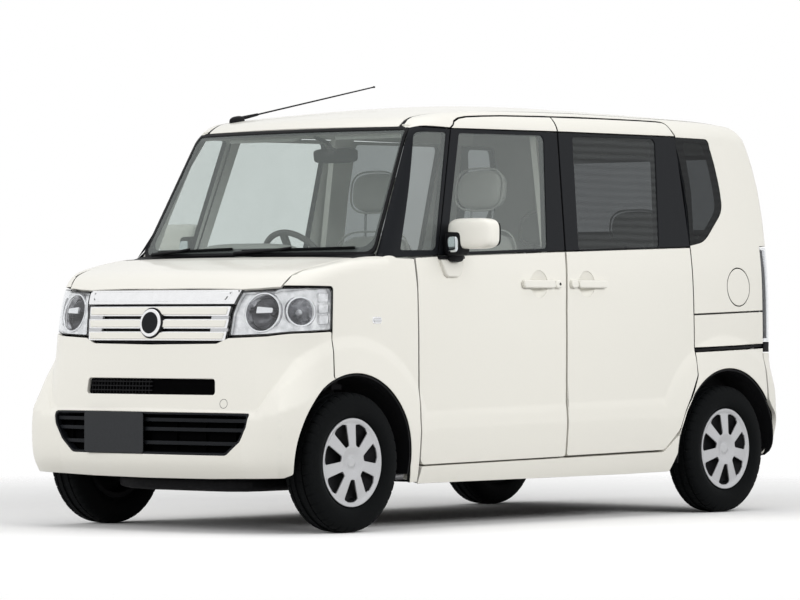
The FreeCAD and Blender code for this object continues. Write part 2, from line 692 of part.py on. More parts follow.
# seat side views: y, z, radius
FRONT_SEAT = {
    "base": [(-430, 285), (-430, 590), (-15, 590), (-15, 285)],
    "cushion": [(-500, 590, 40), (-500, 720, 50), (-15, 690, 30), (-15, 590, 30)],
    "back": [(-95, 650, 40), (30, 1240, 40), (140, 1225, 50), (55, 600, 40), (-65, 600, 20)],
    "head": [(30, 1320, 30), (45, 1500, 40), (130, 1490, 40), (115, 1310, 30)],
}
REAR_SEAT = {
    "base": [(700, 285), (700, 520), (948, 520), (948, 285)],
    "cushion": [(600, 520, 40), (600, 655, 50), (1120, 620, 30), (1120, 520, 30)],
    "back": [(1060, 600, 40), (1170, 1140, 40), (1270, 1125, 50), (1190, 560, 40), (1080, 560, 20)],
    "head": [(1175, 1190, 30), (1190, 1350, 40), (1270, 1340, 40), (1255, 1180, 30)],
}


def seats(outlines, offset, width):
    """A pair of seats from one set of side views, each piece a little narrower or wider than the cushion."""
    narrower = {"base": 60, "cushion": 0, "back": 15, "head": 110}
    pair = []
    for side in (1, -1):
        pieces = []
        for name, outline in outlines.items():
            half = width / 2 - narrower[name]
            pieces.append(prism(outline, "x", offset * side - half, offset * side + half))
        low, high = outlines["back"][1], outlines["head"][0]
        for post in (-60, 60):
            foot = (offset * side + post, low[0] + 50, low[1] - 30)
            pieces.append(rod(foot, (offset * side + post, high[0] + 45, high[1] + 30), 7))
        pair.append(pieces[0].multiFuse(pieces[1:]))
    return Part.makeCompound(pair)


keep("front_seats", seats(FRONT_SEAT, size["seat_offset"] - 30, size["seat_width"]))
keep("rear_seats", seats(REAR_SEAT, 262, 500))

# ---- mirrors, antenna and wipers -----------------------------------------------------------------

MIRROR = {"x": 722, "y": -655, "z": 1141}
for name, side in SIDES:
    low_x = MIRROR["x"] if side > 0 else -MIRROR["x"] - size["mirror_width"]
    high_x = low_x + size["mirror_width"]
    low_z = MIRROR["z"]
    high_z = low_z + size["mirror_height"]
    first_y = MIRROR["y"]
    case = prism([(low_x, low_z, 30), (high_x, low_z, 40), (high_x, high_z, 40), (low_x, high_z, 30)],
                 "y", first_y, first_y + size["mirror_depth"])
    foot = prism([(first_y + 5, 1030, 12), (first_y + 5, 1100), (first_y + 80, 1100), (first_y + 80, 1030, 12)],
                 "x", *sorted((690 * side, 742 * side)))
    neck = block(sorted((700 * side, 742 * side)), (first_y + 15, first_y + 75), (1090, 1165))
    keep("door_mirror_" + name, case.multiFuse([foot, neck]).cut(form).removeSplitter())

ANTENNA_FOOT = Vector(-497, -640, 1697)
ANTENNA_LEAN = 11.5
antenna_axis = Vector(0.05, math.cos(math.radians(ANTENNA_LEAN)), math.sin(math.radians(ANTENNA_LEAN)))
antenna_tip = ANTENNA_FOOT + antenna_axis * size["antenna_length"]
mast = rod(ANTENNA_FOOT, antenna_tip, size["antenna_rod"] / 2)
socket = rod(ANTENNA_FOOT - antenna_axis * 40, ANTENNA_FOOT + antenna_axis * 50, 13)
keep("antenna", mast.fuse(socket).cut(form))

WIPERS = [((-20, -1132, 1134), (560, -1078, 1134)), ((-560, -1078, 1134), (-60, -1138, 1134))]
keep("wipers", Part.makeCompound([rod(start, end, 7) for start, end in WIPERS]))

# ---- checks and export ---------------------------------------------------------------------------

doc.recompute()
for thing in doc.Objects:
    if {"Invalid", "Error"} & set(thing.State):
        raise RuntimeError(f"{thing.Label} failed: {thing.State}")
for node in nodes:
    if node.Shape.isNull() or not node.Shape.isValid():
        raise RuntimeError(f"{node.Label} has no valid shape")

os.makedirs("parts", exist_ok=True)
for node in nodes:
    node.Shape.exportStep(f"parts/{node.Label}.step")
print(len(nodes), "sub-parts")
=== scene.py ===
import bpy
import math
import numpy as np
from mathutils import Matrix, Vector
from mathutils.geometry import delaunay_2d_cdt
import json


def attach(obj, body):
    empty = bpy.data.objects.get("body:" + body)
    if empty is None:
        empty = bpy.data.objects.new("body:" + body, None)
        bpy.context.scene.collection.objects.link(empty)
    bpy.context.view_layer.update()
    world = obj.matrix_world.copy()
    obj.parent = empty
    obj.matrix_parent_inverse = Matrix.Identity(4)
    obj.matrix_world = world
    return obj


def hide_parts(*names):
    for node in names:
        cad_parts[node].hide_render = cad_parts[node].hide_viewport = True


# A tall kei car, in metres. X is positive to its left, its nose is at -Y, and Z is up from the floor.
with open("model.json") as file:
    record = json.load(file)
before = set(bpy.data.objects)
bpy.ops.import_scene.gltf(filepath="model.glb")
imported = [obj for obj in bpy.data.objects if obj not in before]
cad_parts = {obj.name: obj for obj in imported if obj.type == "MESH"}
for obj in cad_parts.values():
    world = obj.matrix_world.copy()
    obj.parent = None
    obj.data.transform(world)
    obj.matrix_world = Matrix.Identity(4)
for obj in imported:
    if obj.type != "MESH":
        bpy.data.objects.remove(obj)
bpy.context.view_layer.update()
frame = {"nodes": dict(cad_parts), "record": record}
NODES = frame["nodes"]
SIDES = (("left", 1), ("right", -1))

# ---- the body's skin as one function of space ----------------------------------------------------

FRONT_AXLE, REAR_AXLE, AXLE_Z, WHEEL_X = -1.2375, 1.2825, 0.281, 0.6525
NOSE_CORNER = (0.5675, -1.5275, 0.17)  # middle and radius of the bumper's corner, seen from above
TAIL_RADIUS = 0.046
LIP = 0.357                            # radius of the wheel openings' edges


def curve(points, blur):
    """A line through (a, b) points with its corners rounded off over about twice blur."""
    a, b = np.array(points, float).T
    grid = np.arange(a[0] - 0.4, a[-1] + 0.4, 0.001)
    first, last = (b[1] - b[0]) / (a[1] - a[0]), (b[-1] - b[-2]) / (a[-1] - a[-2])
    value = np.interp(grid, a, b)
    value += np.minimum(grid - a[0], 0) * first + np.maximum(grid - a[-1], 0) * last
    reach = int(blur * 3000)
    bell = np.exp(-0.5 * (np.arange(-reach, reach + 1) / (blur * 1000)) ** 2)
    ends = np.arange(reach) + 1
    padded = np.concatenate([value[0] - first * 0.001 * ends[::-1], value, value[-1] + last * 0.001 * ends])
    value = np.convolve(padded, bell / bell.sum(), "valid")
    return lambda t: np.interp(t, grid, value)


def rounded(a, b, radius):
    """The corner of two half-spaces, rounded; a and b are distances, positive outside."""
    u, v = np.maximum(a + radius, 0), np.maximum(b + radius, 0)
    return np.minimum(np.maximum(a, b), -radius) + np.sqrt(u * u + v * v)


HALF_WIDTH = curve([(0.15, 0.672), (0.215, 0.690), (0.30, 0.701), (0.40, 0.7085), (0.50, 0.7105),
                    (0.80, 0.7110), (0.96, 0.7085), (1.06, 0.7045), (1.13, 0.6975), (1.73, 0.6165)], 0.022)
NOSE_LINE = curve([
    (0.18, -1.622), (0.225, -1.656), (0.275, -1.6835), (0.33, -1.6905), (0.42, -1.6895), (0.52, -1.6820),
    (0.62, -1.6745), (0.76, -1.6610), (0.88, -1.6450), (0.975, -1.6200), (1.10, -1.58),
], 0.016)
NOSE_CROWN = curve([(0.2, 4.6), (0.45, 4.4), (0.75, 2.4), (1.1, 2.4)], 0.05)
BONNET_LINE = curve([
    (-1.68, 0.92), (-1.60, 0.988), (-1.555, 1.030), (-1.50, 1.0505), (-1.40, 1.0740), (-1.285, 1.0955),
    (-1.20, 1.1055), (-1.12, 1.1120), (-1.0, 1.12),
], 0.016)
ROOF_LINE = curve([(-0.95, 1.640), (-0.823, 1.672), (-0.66, 1.7030), (-0.50, 1.7270), (-0.30, 1.7500),
                   (-0.10, 1.7660), (0.10, 1.7770), (0.35, 1.7825), (0.70, 1.7810), (1.0, 1.7765),
                   (1.25, 1.7695), (1.45, 1.7560), (1.60, 1.7400)], 0.05)
TAIL_LINE = curve([(0.18, 1.600), (0.235, 1.640), (0.29, 1.680), (0.34, 1.6935), (0.42, 1.6975),
                   (0.53, 1.6965), (0.60, 1.6835), (0.66, 1.6695), (0.70, 1.6640), (1.30, 1.6640),
                   (1.435, 1.6520), (1.546, 1.6250), (1.635, 1.5920), (1.70, 1.5560), (1.80, 1.50)], 0.018)
SCREEN_BASE, SCREEN_RAKE, SCREEN_CROWN, ROOF_CROWN = (-1.120, 1.112), 0.565, 2.4, 3.7
ROOF_FLAT = curve([(-1.0, 0.65), (-0.77, 0.55), (-0.66, 0.32), (-0.50, 0.35), (-0.25, 0.68), (0.0, 0.92),
                   (0.2, 1.0), (0.8, 1.0), (1.4, 0.75), (2.0, 0.7)], 0.04)
RAMP = curve([(-1, 0), (0, 0), (0.32, 0.52), (1, 1), (2, 1)], 0.03)


def arc(centre, radius, first, last, count):
    """Points of an arc; angles in degrees from the first axis towards the second."""
    turn = np.radians(np.linspace(first, last, count))
    return [(centre[0] + radius * math.cos(t), centre[1] + radius * math.sin(t)) for t in turn]


def circle(u, v, radius, count=48):
    """Points round a circle."""
    return [(u + radius * math.cos(t), v + radius * math.sin(t)) for t in np.linspace(0, 2 * math.pi,
        count + 1)[:-1]]


def oblong(half_u, half_v, radius):
    """A rectangle about the middle of a board, its corners rounded."""
    return [(half_u, -half_v, radius), (half_u, half_v, radius), (-half_u, half_v, radius),
            (-half_u, -half_v, radius)]


def block(u0, v0, u1, v1, *radius):
    """A rectangle between two corners, the others rounded alike where a radius is given."""
    return [(u0, v0, *radius), (u1, v0, *radius), (u1, v1, *radius), (u0, v1, *radius)]


def mirrored(half):
    """A whole outline from its half on the side where u is positive."""
    return half + [(-u, *rest) for u, *rest in reversed(half) if u]


def run_of(y):
    """Distance along the bumper and side, from the middle of the nose, of a place y on the side."""
    x0, y0, radius = NOSE_CORNER
    return y - y0 + x0 + radius * math.pi / 2


# the crease that runs over the front wheel, along the doors and over the rear wheel: run, height
CREASE = [
    (0, 0.494), (0.530, 0.486), (0.558, 0.490), (0.60, 0.530), (0.645, 0.570), (0.73, 0.628), (0.813, 0.679),
    (0.872, 0.722), (0.94, 0.755), (1.006, 0.774), (1.06, 0.783),
]
CREASE += arc((run_of(FRONT_AXLE), AXLE_Z), 0.506, 90, 23, 16)
CREASE += arc((run_of(REAR_AXLE), AXLE_Z), 0.502, 152.5, 2, 30)
CREASE = np.array(CREASE)
SWELL = np.array([  # run, how far the skin stands out past the crease, how wide the slope to it is
    (0, 0.007, 0.014), (0.50, 0.007, 0.014), (0.60, 0.028, 0.05), (0.70, 0.050, 0.10),
    (0.80, 0.043, 0.13), (0.93, 0.027, 0.146), (1.44, 0.026, 0.146), (1.56, 0.013, 0.085),
    (1.66, 0.009, 0.074), (3.10, 0.009, 0.084), (3.22, 0.013, 0.095), (3.36, 0.025, 0.140),
    (4.0, 0.026, 0.140), (4.2, 0.02, 0.13),
])


def crease_distance(run, z):
    """How far a place lies below or inside the crease."""
    best = np.full(run.shape, 9.0)
    for (a, b), (da, db) in zip(CREASE[:-1], CREASE[1:] - CREASE[:-1]):
        t = np.clip(((run - a) * da + (z - b) * db) / (da * da + db * db), 0, 1)
        best = np.minimum(best, np.hypot(run - a - t * da, z - b - t * db))
    return np.where(z < np.interp(run, CREASE[:, 0], CREASE[:, 1]), best, -best)


def skin(points):
    """Distance of points from the body's skin, positive outside."""
    x, y, z = np.abs(points[:, 0]), points[:, 1], points[:, 2]
    x0, y0, radius = NOSE_CORNER
    turn = np.arctan2(np.maximum(x - x0, 1e-9), np.maximum(y0 - y, 1e-9))
    run = np.where(y > y0, run_of(y), np.where(x < x0, x, x0 + radius * turn))
    height, width = (np.interp(run, SWELL[:, 0], SWELL[:, k]) for k in (1, 2))
    out = np.where(z < 0.95, height * RAMP(crease_distance(run, z) / width), 0)
    crown = x * x / 2
    side = x - HALF_WIDTH(z) + np.where(y > 0, 0.002, 0.005) * ((y - 0.1) / 1.45) ** 2 - out
    front = NOSE_LINE(z) + crown / NOSE_CROWN(z) - y - out
    rear = y - TAIL_LINE(z) + crown / 14
    bonnet = (z - BONNET_LINE(y - crown / 2.4)) * 0.97
    screen = SCREEN_BASE[0] + SCREEN_RAKE * (z - SCREEN_BASE[1]) + crown / SCREEN_CROWN - y
    roof = z - ROOF_LINE(y) + crown / ROOF_CROWN * ROOF_FLAT(y)
    lower = rounded(rounded(side, front, radius - 0.02 * np.clip(z / 0.1 - 7, 0, 1)), bonnet, 0.042)
    upper = rounded(rounded(side, screen / math.hypot(1, SCREEN_RAKE), 0.055), roof, 0.062)
    return rounded(np.minimum(lower, upper), rear, TAIL_RADIUS)


def facing(points, step=0.0015):
    """Outward unit normals of the skin."""
    slopes = []
    for axis in range(3):
        move = np.zeros(3)
        move[axis] = step
        slopes.append(skin(points + move) - skin(points - move))
    normal = np.stack(slopes, 1)
    return normal / np.linalg.norm(normal, axis=1, keepdims=True)


def cast(origin, way):
    """Where rays from inside the body, along unit ways, meet the skin, and the skin's normals there."""
    reach = np.full((len(origin), 1), 0.75)
    for _ in range(34):
        reach -= skin(origin + way * reach)[:, None] * 0.9
    points = origin + way * reach
    return points, facing(points)


# ---- maps from flat outlines onto the skin -------------------------------------------------------

class Wrap:
    """Wraps a flat plane round a corner of the body and, past a height, over its shoulder.

    half and end give the corner of a core inside the body: its half width and its end at height z.
    way is -1 at the nose and 1 at the tail. u runs from the core's corner, negative over the end and positive
    over the corner and along the side; v is the height, and past top it goes on over the shoulder.
    """

    def __init__(self, way, half, end, bend, top=9.0, over=0.1):
        self.way, self.bend, self.top, self.over = way, bend, top, over
        self.half = half if callable(half) else lambda z: np.full(np.shape(z), half)
        self.end = end if callable(end) else lambda z: np.full(np.shape(z), end)

    def __call__(self, flat):
        u, v = flat[:, 0], flat[:, 1]
        z = np.minimum(v, self.top)
        lift = np.clip((v - self.top) / self.over, 0, math.pi / 2)
        inward = np.maximum(v - self.top - self.over * math.pi / 2, 0)
        turn = np.clip(u / self.bend, 0, math.pi / 2)
        way_x, way_y = np.sin(turn), self.way * np.cos(turn)
        x = self.half(z) + np.minimum(u, 0) - inward * way_x
        y = self.end(z) - self.way * np.maximum(u - self.bend * math.pi / 2, 0) - inward * way_y
        way = np.stack([way_x * np.cos(lift), way_y * np.cos(lift), np.sin(lift)], 1)
        return cast(np.stack([x, y, z], 1), way)

    def at(self, x, y, z, *radius):
        """The flat place of a place on the skin."""
        level = min(z, self.top)
        dx, dy = x - float(self.half(level)), self.way * (y - float(self.end(level)))
        if dx > 0 and dy > 0:
            u = self.bend * math.atan2(dx, dy)
        else:
            u = dx if dy > 0 else self.bend * math.pi / 2 - dy
        flat = math.hypot(max(dx, 0), max(dy, 0)) if max(dx, dy) > 0 else 0.0
        v = level
        if z > self.top:
            v += self.over * math.atan2(z - self.top, flat)
            if flat == 0.0:
                v -= max(dx, dy)
        return (u, v, *radius)

    def side(self, *corners):
        """Corners (y, z) or (y, z, radius) on the side as corners in the plane."""
        return [(self.bend * math.pi / 2 - self.way * (c[0] - float(self.end(min(c[1], self.top)))), *c[1:])
                for c in corners]


def both_ways(wrap, start):
    """The map for outlines that cross the middle: u counts from there, and start is the core's half width."""
    def place(flat):
        points, normals = wrap(np.stack([np.abs(flat[:, 0]) - start, flat[:, 1]], 1))
        sign = np.where(flat[:, 0] < 0, -1.0, 1.0)
        points[:, 0] *= sign
        normals[:, 0] *= sign
        return points, normals
    return place


def board(origin, across, up):
    """A flat board in space: u along across, v along up."""
    origin, across, up = (np.array(item, float) for item in (origin, across, up))
    across, up = across / np.linalg.norm(across), up / np.linalg.norm(up)
    normal = np.cross(across, up)
    return lambda flat: (origin + flat[:, :1] * across + flat[:, 1:] * up, np.tile(normal, (len(flat), 1)))


TAIL_CORNER = (0.5675, 1.50, 0.15)  # core's half width, its end and the length that turns the corner
# height where the tailgate's map turns over, and the turn's length
GATE_TOP, GATE_BEND = 1.60, 0.12
BONNET_END, BONNET_TOP, BONNET_BEND = -1.45, 0.93, 0.12  # the same for the bonnet's map, with its core's end
NOSE = Wrap(-1, *NOSE_CORNER)
NOSE_WIDE = both_ways(NOSE, NOSE_CORNER[0])
FENDER = Wrap(-1, 0.60, -1.46, 0.10, 0.99, 0.09)
BONNET = both_ways(Wrap(-1, 0.70, BONNET_END, 0.12, BONNET_TOP, BONNET_BEND), 0.70)
PILLAR = Wrap(-1, lambda z: HALF_WIDTH(z) - 0.10, lambda z: -0.945 + SCREEN_RAKE * (z - 1.112), 0.10)
SCREEN = both_ways(Wrap(-1, 0.70, lambda z: -0.90 + SCREEN_RAKE * (z - 1.112), 0.12), 0.70)
SIDE = Wrap(-1, 0.40, -1.40, 0.10)
QUARTER = Wrap(1, lambda z: HALF_WIDTH(z) - 0.12, lambda z: TAIL_LINE(z) - 0.12, 0.12, 1.62, 0.12)
TAIL = Wrap(1, *TAIL_CORNER)
TAIL_WIDE = both_ways(TAIL, TAIL_CORNER[0])
GATE = both_ways(Wrap(1, 0.70, 1.45, 0.12, GATE_TOP, GATE_BEND), 0.70)


def roof_map(flat):
    """x, y onto the roof from straight above."""
    origin = np.concatenate([flat, np.full((len(flat), 1), 1.2)], 1)
    return cast(origin, np.tile([0.0, 0.0, 1.0], (len(flat), 1)))


# ---- meshes --------------------------------------------------------------------------------------

def ring_of(corners, step):
    """Points round an outline of (u, v) or (u, v, radius) corners, counter-clockwise and about step apart."""
    points = []
    for index, corner in enumerate(corners):
        here = np.array(corner[:2], float)
        radius = corner[2] if len(corner) > 2 else 0
        if not radius:
            points.append(here)
            continue
        a, b = np.array(corners[index - 1][:2]) - here, np.array(
            corners[(index + 1) % len(corners)][:2]) - here
        long_a, long_b = np.linalg.norm(a), np.linalg.norm(b)
        a, b = a / long_a, b / long_b
        half = math.acos(float(np.clip(a @ b, -1, 1))) / 2
        if half > 1.55:
            points.append(here)
            continue
        reach = min(radius / math.tan(half), long_a * 0.48, long_b * 0.48)
        radius = reach * math.tan(half)
        centre = here + (a + b) / np.linalg.norm(a + b) * radius / math.sin(half)
        first, last = here + a * reach - centre, here + b * reach - centre
        swing = math.pi - 2 * half
        count = max(3, math.ceil(radius * swing / (step * 0.5)))
        for k in range(count + 1):
            f = k / count
            points.append(centre + (first * math.sin((1 - f) * swing) + last * math.sin(f * swing))
                          / math.sin(swing))
    ring = []
    for p, q in zip(points, points[1:] + points[:1]):
        long = float(np.linalg.norm(q - p))
        if long < 1e-6:
            continue
        count = max(1, math.ceil(long / step))
        ring += [p + (q - p) * k / count for k in range(count)]
    ring = np.array(ring)
    x, y = ring.T
    area = float(np.sum(x * np.roll(y, -1) - y * np.roll(x, -1)))
    return ring if area > 0 else ring[::-1]


def inset(ring, depth):
    """A ring moved to its left by depth."""
    ahead = np.roll(ring, -1, 0) - ring
    ahead /= np.linalg.norm(ahead, axis=1, keepdims=True)
    behind = np.roll(ahead, 1, 0)
    left = lambda w: np.stack([-w[:, 1], w[:, 0]], 1)
    share = 1 + np.sum(ahead * behind, 1, keepdims=True)
    return ring + (left(ahead) + left(behind)) / np.maximum(share, 0.5) * depth


def within(points, ring):
    """Which points lie inside a ring."""
    x, y = points[:, 0][:, None], points[:, 1][:, None]
    x0, y0 = ring.T
    x1, y1 = np.roll(ring, -1, 0).T
    cross = (y0 > y) != (y1 > y)
    at = x0 + (y - y0) * (x1 - x0) / np.where(y1 == y0, 1e-12, y1 - y0)
    return (np.sum(cross & (x < at), 1) % 2) == 1


def filled(rings, step, rows=None):
    """Points inside the first ring and outside the others, and triangles over them and the rings."""
    low, high = rings[0].min(0), rings[0].max(0)
    xs, ys = np.arange(low[0], high[0], step), np.arange(low[1], high[1], step * 0.866)
    grid = np.stack(np.meshgrid(xs, ys), -1)
    grid[1::2, :, 0] += step / 2
    inner = grid.reshape(-1, 2)
    if rows is not None and len(rows):
        near = np.array([np.min(np.hypot(*(rows - p).T)) for p in inner])
        inner = np.concatenate([inner[near > step * 0.45], rows])
    edge = np.concatenate(rings)
    keep = within(inner, rings[0])
    for ring in rings[1:]:
        keep &= ~within(inner, ring)
    inner = inner[keep]
    if len(inner):
        near = np.array([np.min(np.hypot(*(edge - p).T)) for p in inner])
        inner = inner[near > step * 0.35]
    points = np.concatenate([edge, inner])
    sides, start = [], 0
    for ring in rings:
        sides += [(start + k, start + (k + 1) % len(ring)) for k in range(len(ring))]
        start += len(ring)
    out = delaunay_2d_cdt([Vector(p) for p in points], sides, [], 0, 1e-7)
    origin = [item[0] if item else -1 for item in out[3]]
    triangles = np.array([[origin[k] for k in face] for face in out[2]])
    triangles = triangles[np.all(triangles >= 0, 1)]
    middle = points[triangles].mean(1)
    keep = within(middle, rings[0])
    for ring in rings[1:]:
        keep &= ~within(middle, ring)
    triangles = triangles[keep]
    a, b, c = (points[triangles[:, k]] for k in range(3))
    flip = (b - a)[:, 0] * (c - a)[:, 1] - (b - a)[:, 1] * (c - a)[:, 0] < 0
    triangles[flip] = triangles[flip][:, ::-1]
    return inner, triangles


def emit(name, verts, faces, finish, body, marks=None, normals=None):
    """A mesh object that rides on a body. finish is a material or a list, marks its index for each face."""
    mesh = bpy.data.meshes.new(name)
    mesh.from_pydata([tuple(v) for v in verts], [], [tuple(int(k) for k in f) for f in faces])
    for item in finish if isinstance(finish, (list, tuple)) else [finish]:
        mesh.materials.append(item)
    if marks is not None:
        mesh.polygons.foreach_set("material_index", np.array(marks, np.int32))
    mesh.polygons.foreach_set("use_smooth", np.ones(len(faces), bool))
    mesh.update()
    if normals is not None:
        mesh.normals_split_custom_set([tuple(n) for n in normals])
    else:
        mesh.set_sharp_from_angle(angle=math.radians(38))
    thing = bpy.data.objects.new(name, mesh)
    bpy.context.collection.objects.link(thing)
    if body:
        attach(thing, body)
    return thing


def crease_rows(low):
    """Extra rows of points along the crease, so that it stays crisp; u is counted from the run low."""
    rows = []
    long = np.linalg.norm(CREASE[1:] - CREASE[:-1], axis=1)
    for index, (a, b) in enumerate(zip(CREASE[:-1], CREASE[1:])):
        count = max(1, math.ceil(long[index] / 0.014))
        way = (b - a) / long[index]
        left = np.array([way[1], -way[0]])
        for k in range(count):
            here = a + (b - a) * k / count
            width = float(np.interp(here[0], SWELL[:, 0], SWELL[:, 2]))
            for off in (-0.007, 0.0, 0.007, width - 0.008, width + 0.008):
                rows.append(here + left * off)
    rows = np.array(rows) - [low, 0]
    _, first = np.unique(np.round(rows / 0.006), axis=0, return_index=True)
    return rows[np.sort(first)]


def panel(name, corners, place, finish, depth=0.012, sink=0.0, holes=(), step=0.018, edge=0.002,
          body="body_shell", back=None, rows=None, sides=None, fine=None):
    """A closed slab laid on the map place: corners and holes are outlines in its plane.

    finish is one material or (front, edge and back). back(points, normals) may say where the back face lies.
    With sides, one panel goes to each side of the car and body and name take _left and _right.
    """
    fine = fine or min(step, 0.012)
    outer = [ring_of(corners, fine)] + [ring_of(hole, fine)[::-1] for hole in holes]
    shallow, top = [inset(r, edge * 0.293) for r in outer], [inset(r, edge) for r in outer]
    inner, triangles = filled(top, step, rows)
    count = sum(len(r) for r in outer)
    on_top, n_top = place(np.concatenate(top + [inner]))
    on_shallow, n_shallow = place(np.concatenate(shallow))
    on_edge, n_edge = place(np.concatenate(outer))
    a, b, c = (on_top[triangles[:, k]] for k in range(3))
    turned_over = float(np.sum(np.cross(b - a, c - a) * n_top[triangles[:, 0]])) < 0
    outward = np.zeros((count, 3))
    start = 0
    for r in outer:
        ids = np.arange(start, start + len(r))
        along = on_edge[np.roll(ids, -1)] - on_edge[np.roll(ids, 1)]
        out = np.cross(along, n_edge[ids]) * (-1 if turned_over else 1)
        outward[ids] = out / np.maximum(np.linalg.norm(out, axis=1, keepdims=True), 1e-9)
        start += len(r)
    skin_top, skin_edge = on_top - n_top * sink, on_edge - n_edge * sink
    rings = [skin_top[:count], on_shallow - n_shallow * (sink + 0.293 * edge), skin_edge - n_edge * edge]
    push = back or (lambda points, normals: points - normals * depth)
    behind = np.concatenate([push(skin_edge, n_edge), push(skin_top[count:], n_top[count:])])
    verts = np.concatenate([rings[0], skin_top[count:], rings[1], rings[2], behind])
    total = len(skin_top)
    base_1, base_2, base_3 = total, total + count, total + 2 * count
    faces, marks, normals = [], [], []

    def add(face, mark, vectors):
        faces.append(face)
        marks.append(mark)
        normals.extend(vectors)

    for t in triangles:
        add(tuple(t), 0, [n_top[k] for k in t])
    middle = n_shallow + outward
    middle /= np.linalg.norm(middle, axis=1, keepdims=True)
    bands = [(0, base_1, n_top[:count], middle, 0), (base_1, base_2, middle, outward, 0),
             (base_2, base_3, outward, outward, 1)]
    start = 0
    for r in outer:
        for k in range(len(r)):
            i, j = start + k, start + (k + 1) % len(r)
            for upper, lower, n_up, n_low, mark in bands:
                add((upper + j, upper + i, lower + i, lower + j), mark,
                    [n_up[j], n_up[i], n_low[i], n_low[j]])
        start += len(r)
    n_back = -np.concatenate([n_edge, n_top[count:]])
    for t in triangles:
        add(tuple(base_3 + k for k in t[::-1]), 2, [n_back[k] for k in t[::-1]])
    if isinstance(finish, (list, tuple)):
        finish = list(finish)
        marks = [min(m, len(finish) - 1) for m in marks]
    else:
        finish, marks = [finish], [0] * len(marks)
    made = []
    for side_name, sign in (sides if isinstance(sides, tuple) else SIDES if sides else (("", 1),)):
        flat, turned, vectors = verts, faces, normals
        if sign < 0:
            flat, vectors = verts * [-1, 1, 1], [n * np.array([-1, 1, 1]) for n in normals]
        if (sign < 0) != turned_over:
            turned, straight, at = [f[::-1] for f in faces], vectors, 0
            vectors = []
            for f in faces:
                vectors += straight[at:at + len(f)][::-1]
                at += len(f)
        title = f"{name}_{side_name}" if side_name else name
        where = body.replace("SIDE", side_name)
        made.append(emit(title, flat, turned, finish, where, marks, vectors))
    return made


def lathe(name, profile, centre, axis, finish, body, count=48):
    """A closed turned piece: profile is (along the axis, radius) corners round its section."""
    axis = np.array(axis, float) / np.linalg.norm(axis)
    seed = np.array([0, 0, 1.0]) if abs(axis[2]) < 0.9 else np.array([0, 1.0, 0])
    across = np.cross(seed, axis)
    across /= np.linalg.norm(across)
    up = np.cross(axis, across)
    solid = profile[0][1] < 1e-6 and profile[-1][1] < 1e-6
    verts, index = [], []
    for along, radius in profile:
        middle = np.array(centre) + axis * along
        if radius < 1e-6:
            index.append([len(verts)] * count)
            verts.append(middle)
            continue
        index.append(list(range(len(verts), len(verts) + count)))
        for k in range(count):
            turn = 2 * math.pi * k / count
            verts.append(middle + radius * (across * math.cos(turn) + up * math.sin(turn)))
    faces = []
    for one, two in list(zip(index, index[1:])) + ([] if solid else [(index[-1], index[0])]):
        for k in range(count):
            face = [one[k], one[(k + 1) % count], two[(k + 1) % count], two[k]]
            face = [f for n, f in enumerate(face) if f != face[n - 1]]
            if len(face) > 2:
                faces.append(face)
    verts = np.array(verts)
    a, b, c = (verts[[f[k] for f in faces]] for k in range(3))
    volume = np.sum(np.cross(a, b) * c)
    quads = [f for f in faces if len(f) == 4]
    volume += np.sum(np.cross(verts[[f[0] for f in quads]], verts[[f[2] for f in quads]])
                     * verts[[f[3] for f in quads]])
    if volume < 0:
        faces = [f[::-1] for f in faces]
    return emit(name, verts, faces, finish, body)


def tube(name, points, radius, finish, body, count=12, closed=False):
    """A round bar along points; radius may be one number or one for each point."""
    points = np.array(points, float)
    radii = np.broadcast_to(radius, (len(points),))
    ways = np.roll(points, -1, 0) - np.roll(points, 1, 0) if closed else np.gradient(points, axis=0)
    ways /= np.linalg.norm(ways, axis=1, keepdims=True)
    up = np.array([0, 0, 1.0]) if abs(ways[0][2]) < 0.9 else np.array([0, 1.0, 0])
    verts = []
    for p, w, r in zip(points, ways, radii):
        a = np.cross(up, w)
        a /= np.linalg.norm(a)
        up = np.cross(w, a)
        verts += [p + r * (a * math.cos(t) + up * math.sin(t)) for t in np.arange(count) * 2 * math.pi
                  / count]
    faces = []
    for k in range(len(points) if closed else len(points) - 1):
        a, b = k * count, ((k + 1) % len(points)) * count
        faces += [(a + i, a + (i + 1) % count, b + (i + 1) % count, b + i) for i in range(count)]
    if not closed:
        faces += [tuple(range(count))[::-1], tuple(range(len(verts) - count, len(verts)))]
    return emit(name, verts, faces, finish, body)


def pillow(name, size, centre, finish, body, power=4.0, tilt=0.0, count=(28, 20)):
    """A rounded box whose corners get squarer with power; tilt leans it back about the X axis, in degrees."""
    across, high = count
    verts = []
    for j in range(high + 1):
        v = math.pi * (j / high - 0.5)
        for i in range(across):
            u = 2 * math.pi * i / across
            d = np.array([math.cos(v) * math.cos(u), math.cos(v) * math.sin(u), math.sin(v)])
            verts.append(d / np.sum(np.abs(d) ** power) ** (1 / power))
    verts = np.array(verts) * np.array(size) / 2
    turn = math.radians(tilt)
    y, z = verts[:, 1] * math.cos(turn) + verts[:, 2] * math.sin(turn), verts[:,
        2] * math.cos(turn) - verts[:, 1] * math.sin(turn)
    verts = np.stack([verts[:, 0], y, z], 1) + centre
    last = high * across
    faces = [(j * across + i, j * across + (i + 1) % across, (j + 1) * across + (i + 1) % across,
              (j + 1) * across + i) for j in range(1, high - 1) for i in range(across)]
    verts = np.concatenate([verts[across:last], verts[:1], verts[-1:]])
    faces = [tuple(k - across for k in f) for f in faces]
    low, top = last - across, last - across + 1
    faces += [(low, (i + 1) % across, i) for i in range(across)]
    upper = low - across
    faces += [(top, upper + i, upper + (i + 1) % across) for i in range(across)]
    return emit(name, verts, faces, finish, body)


# ---- materials -----------------------------------------------------------------------------------

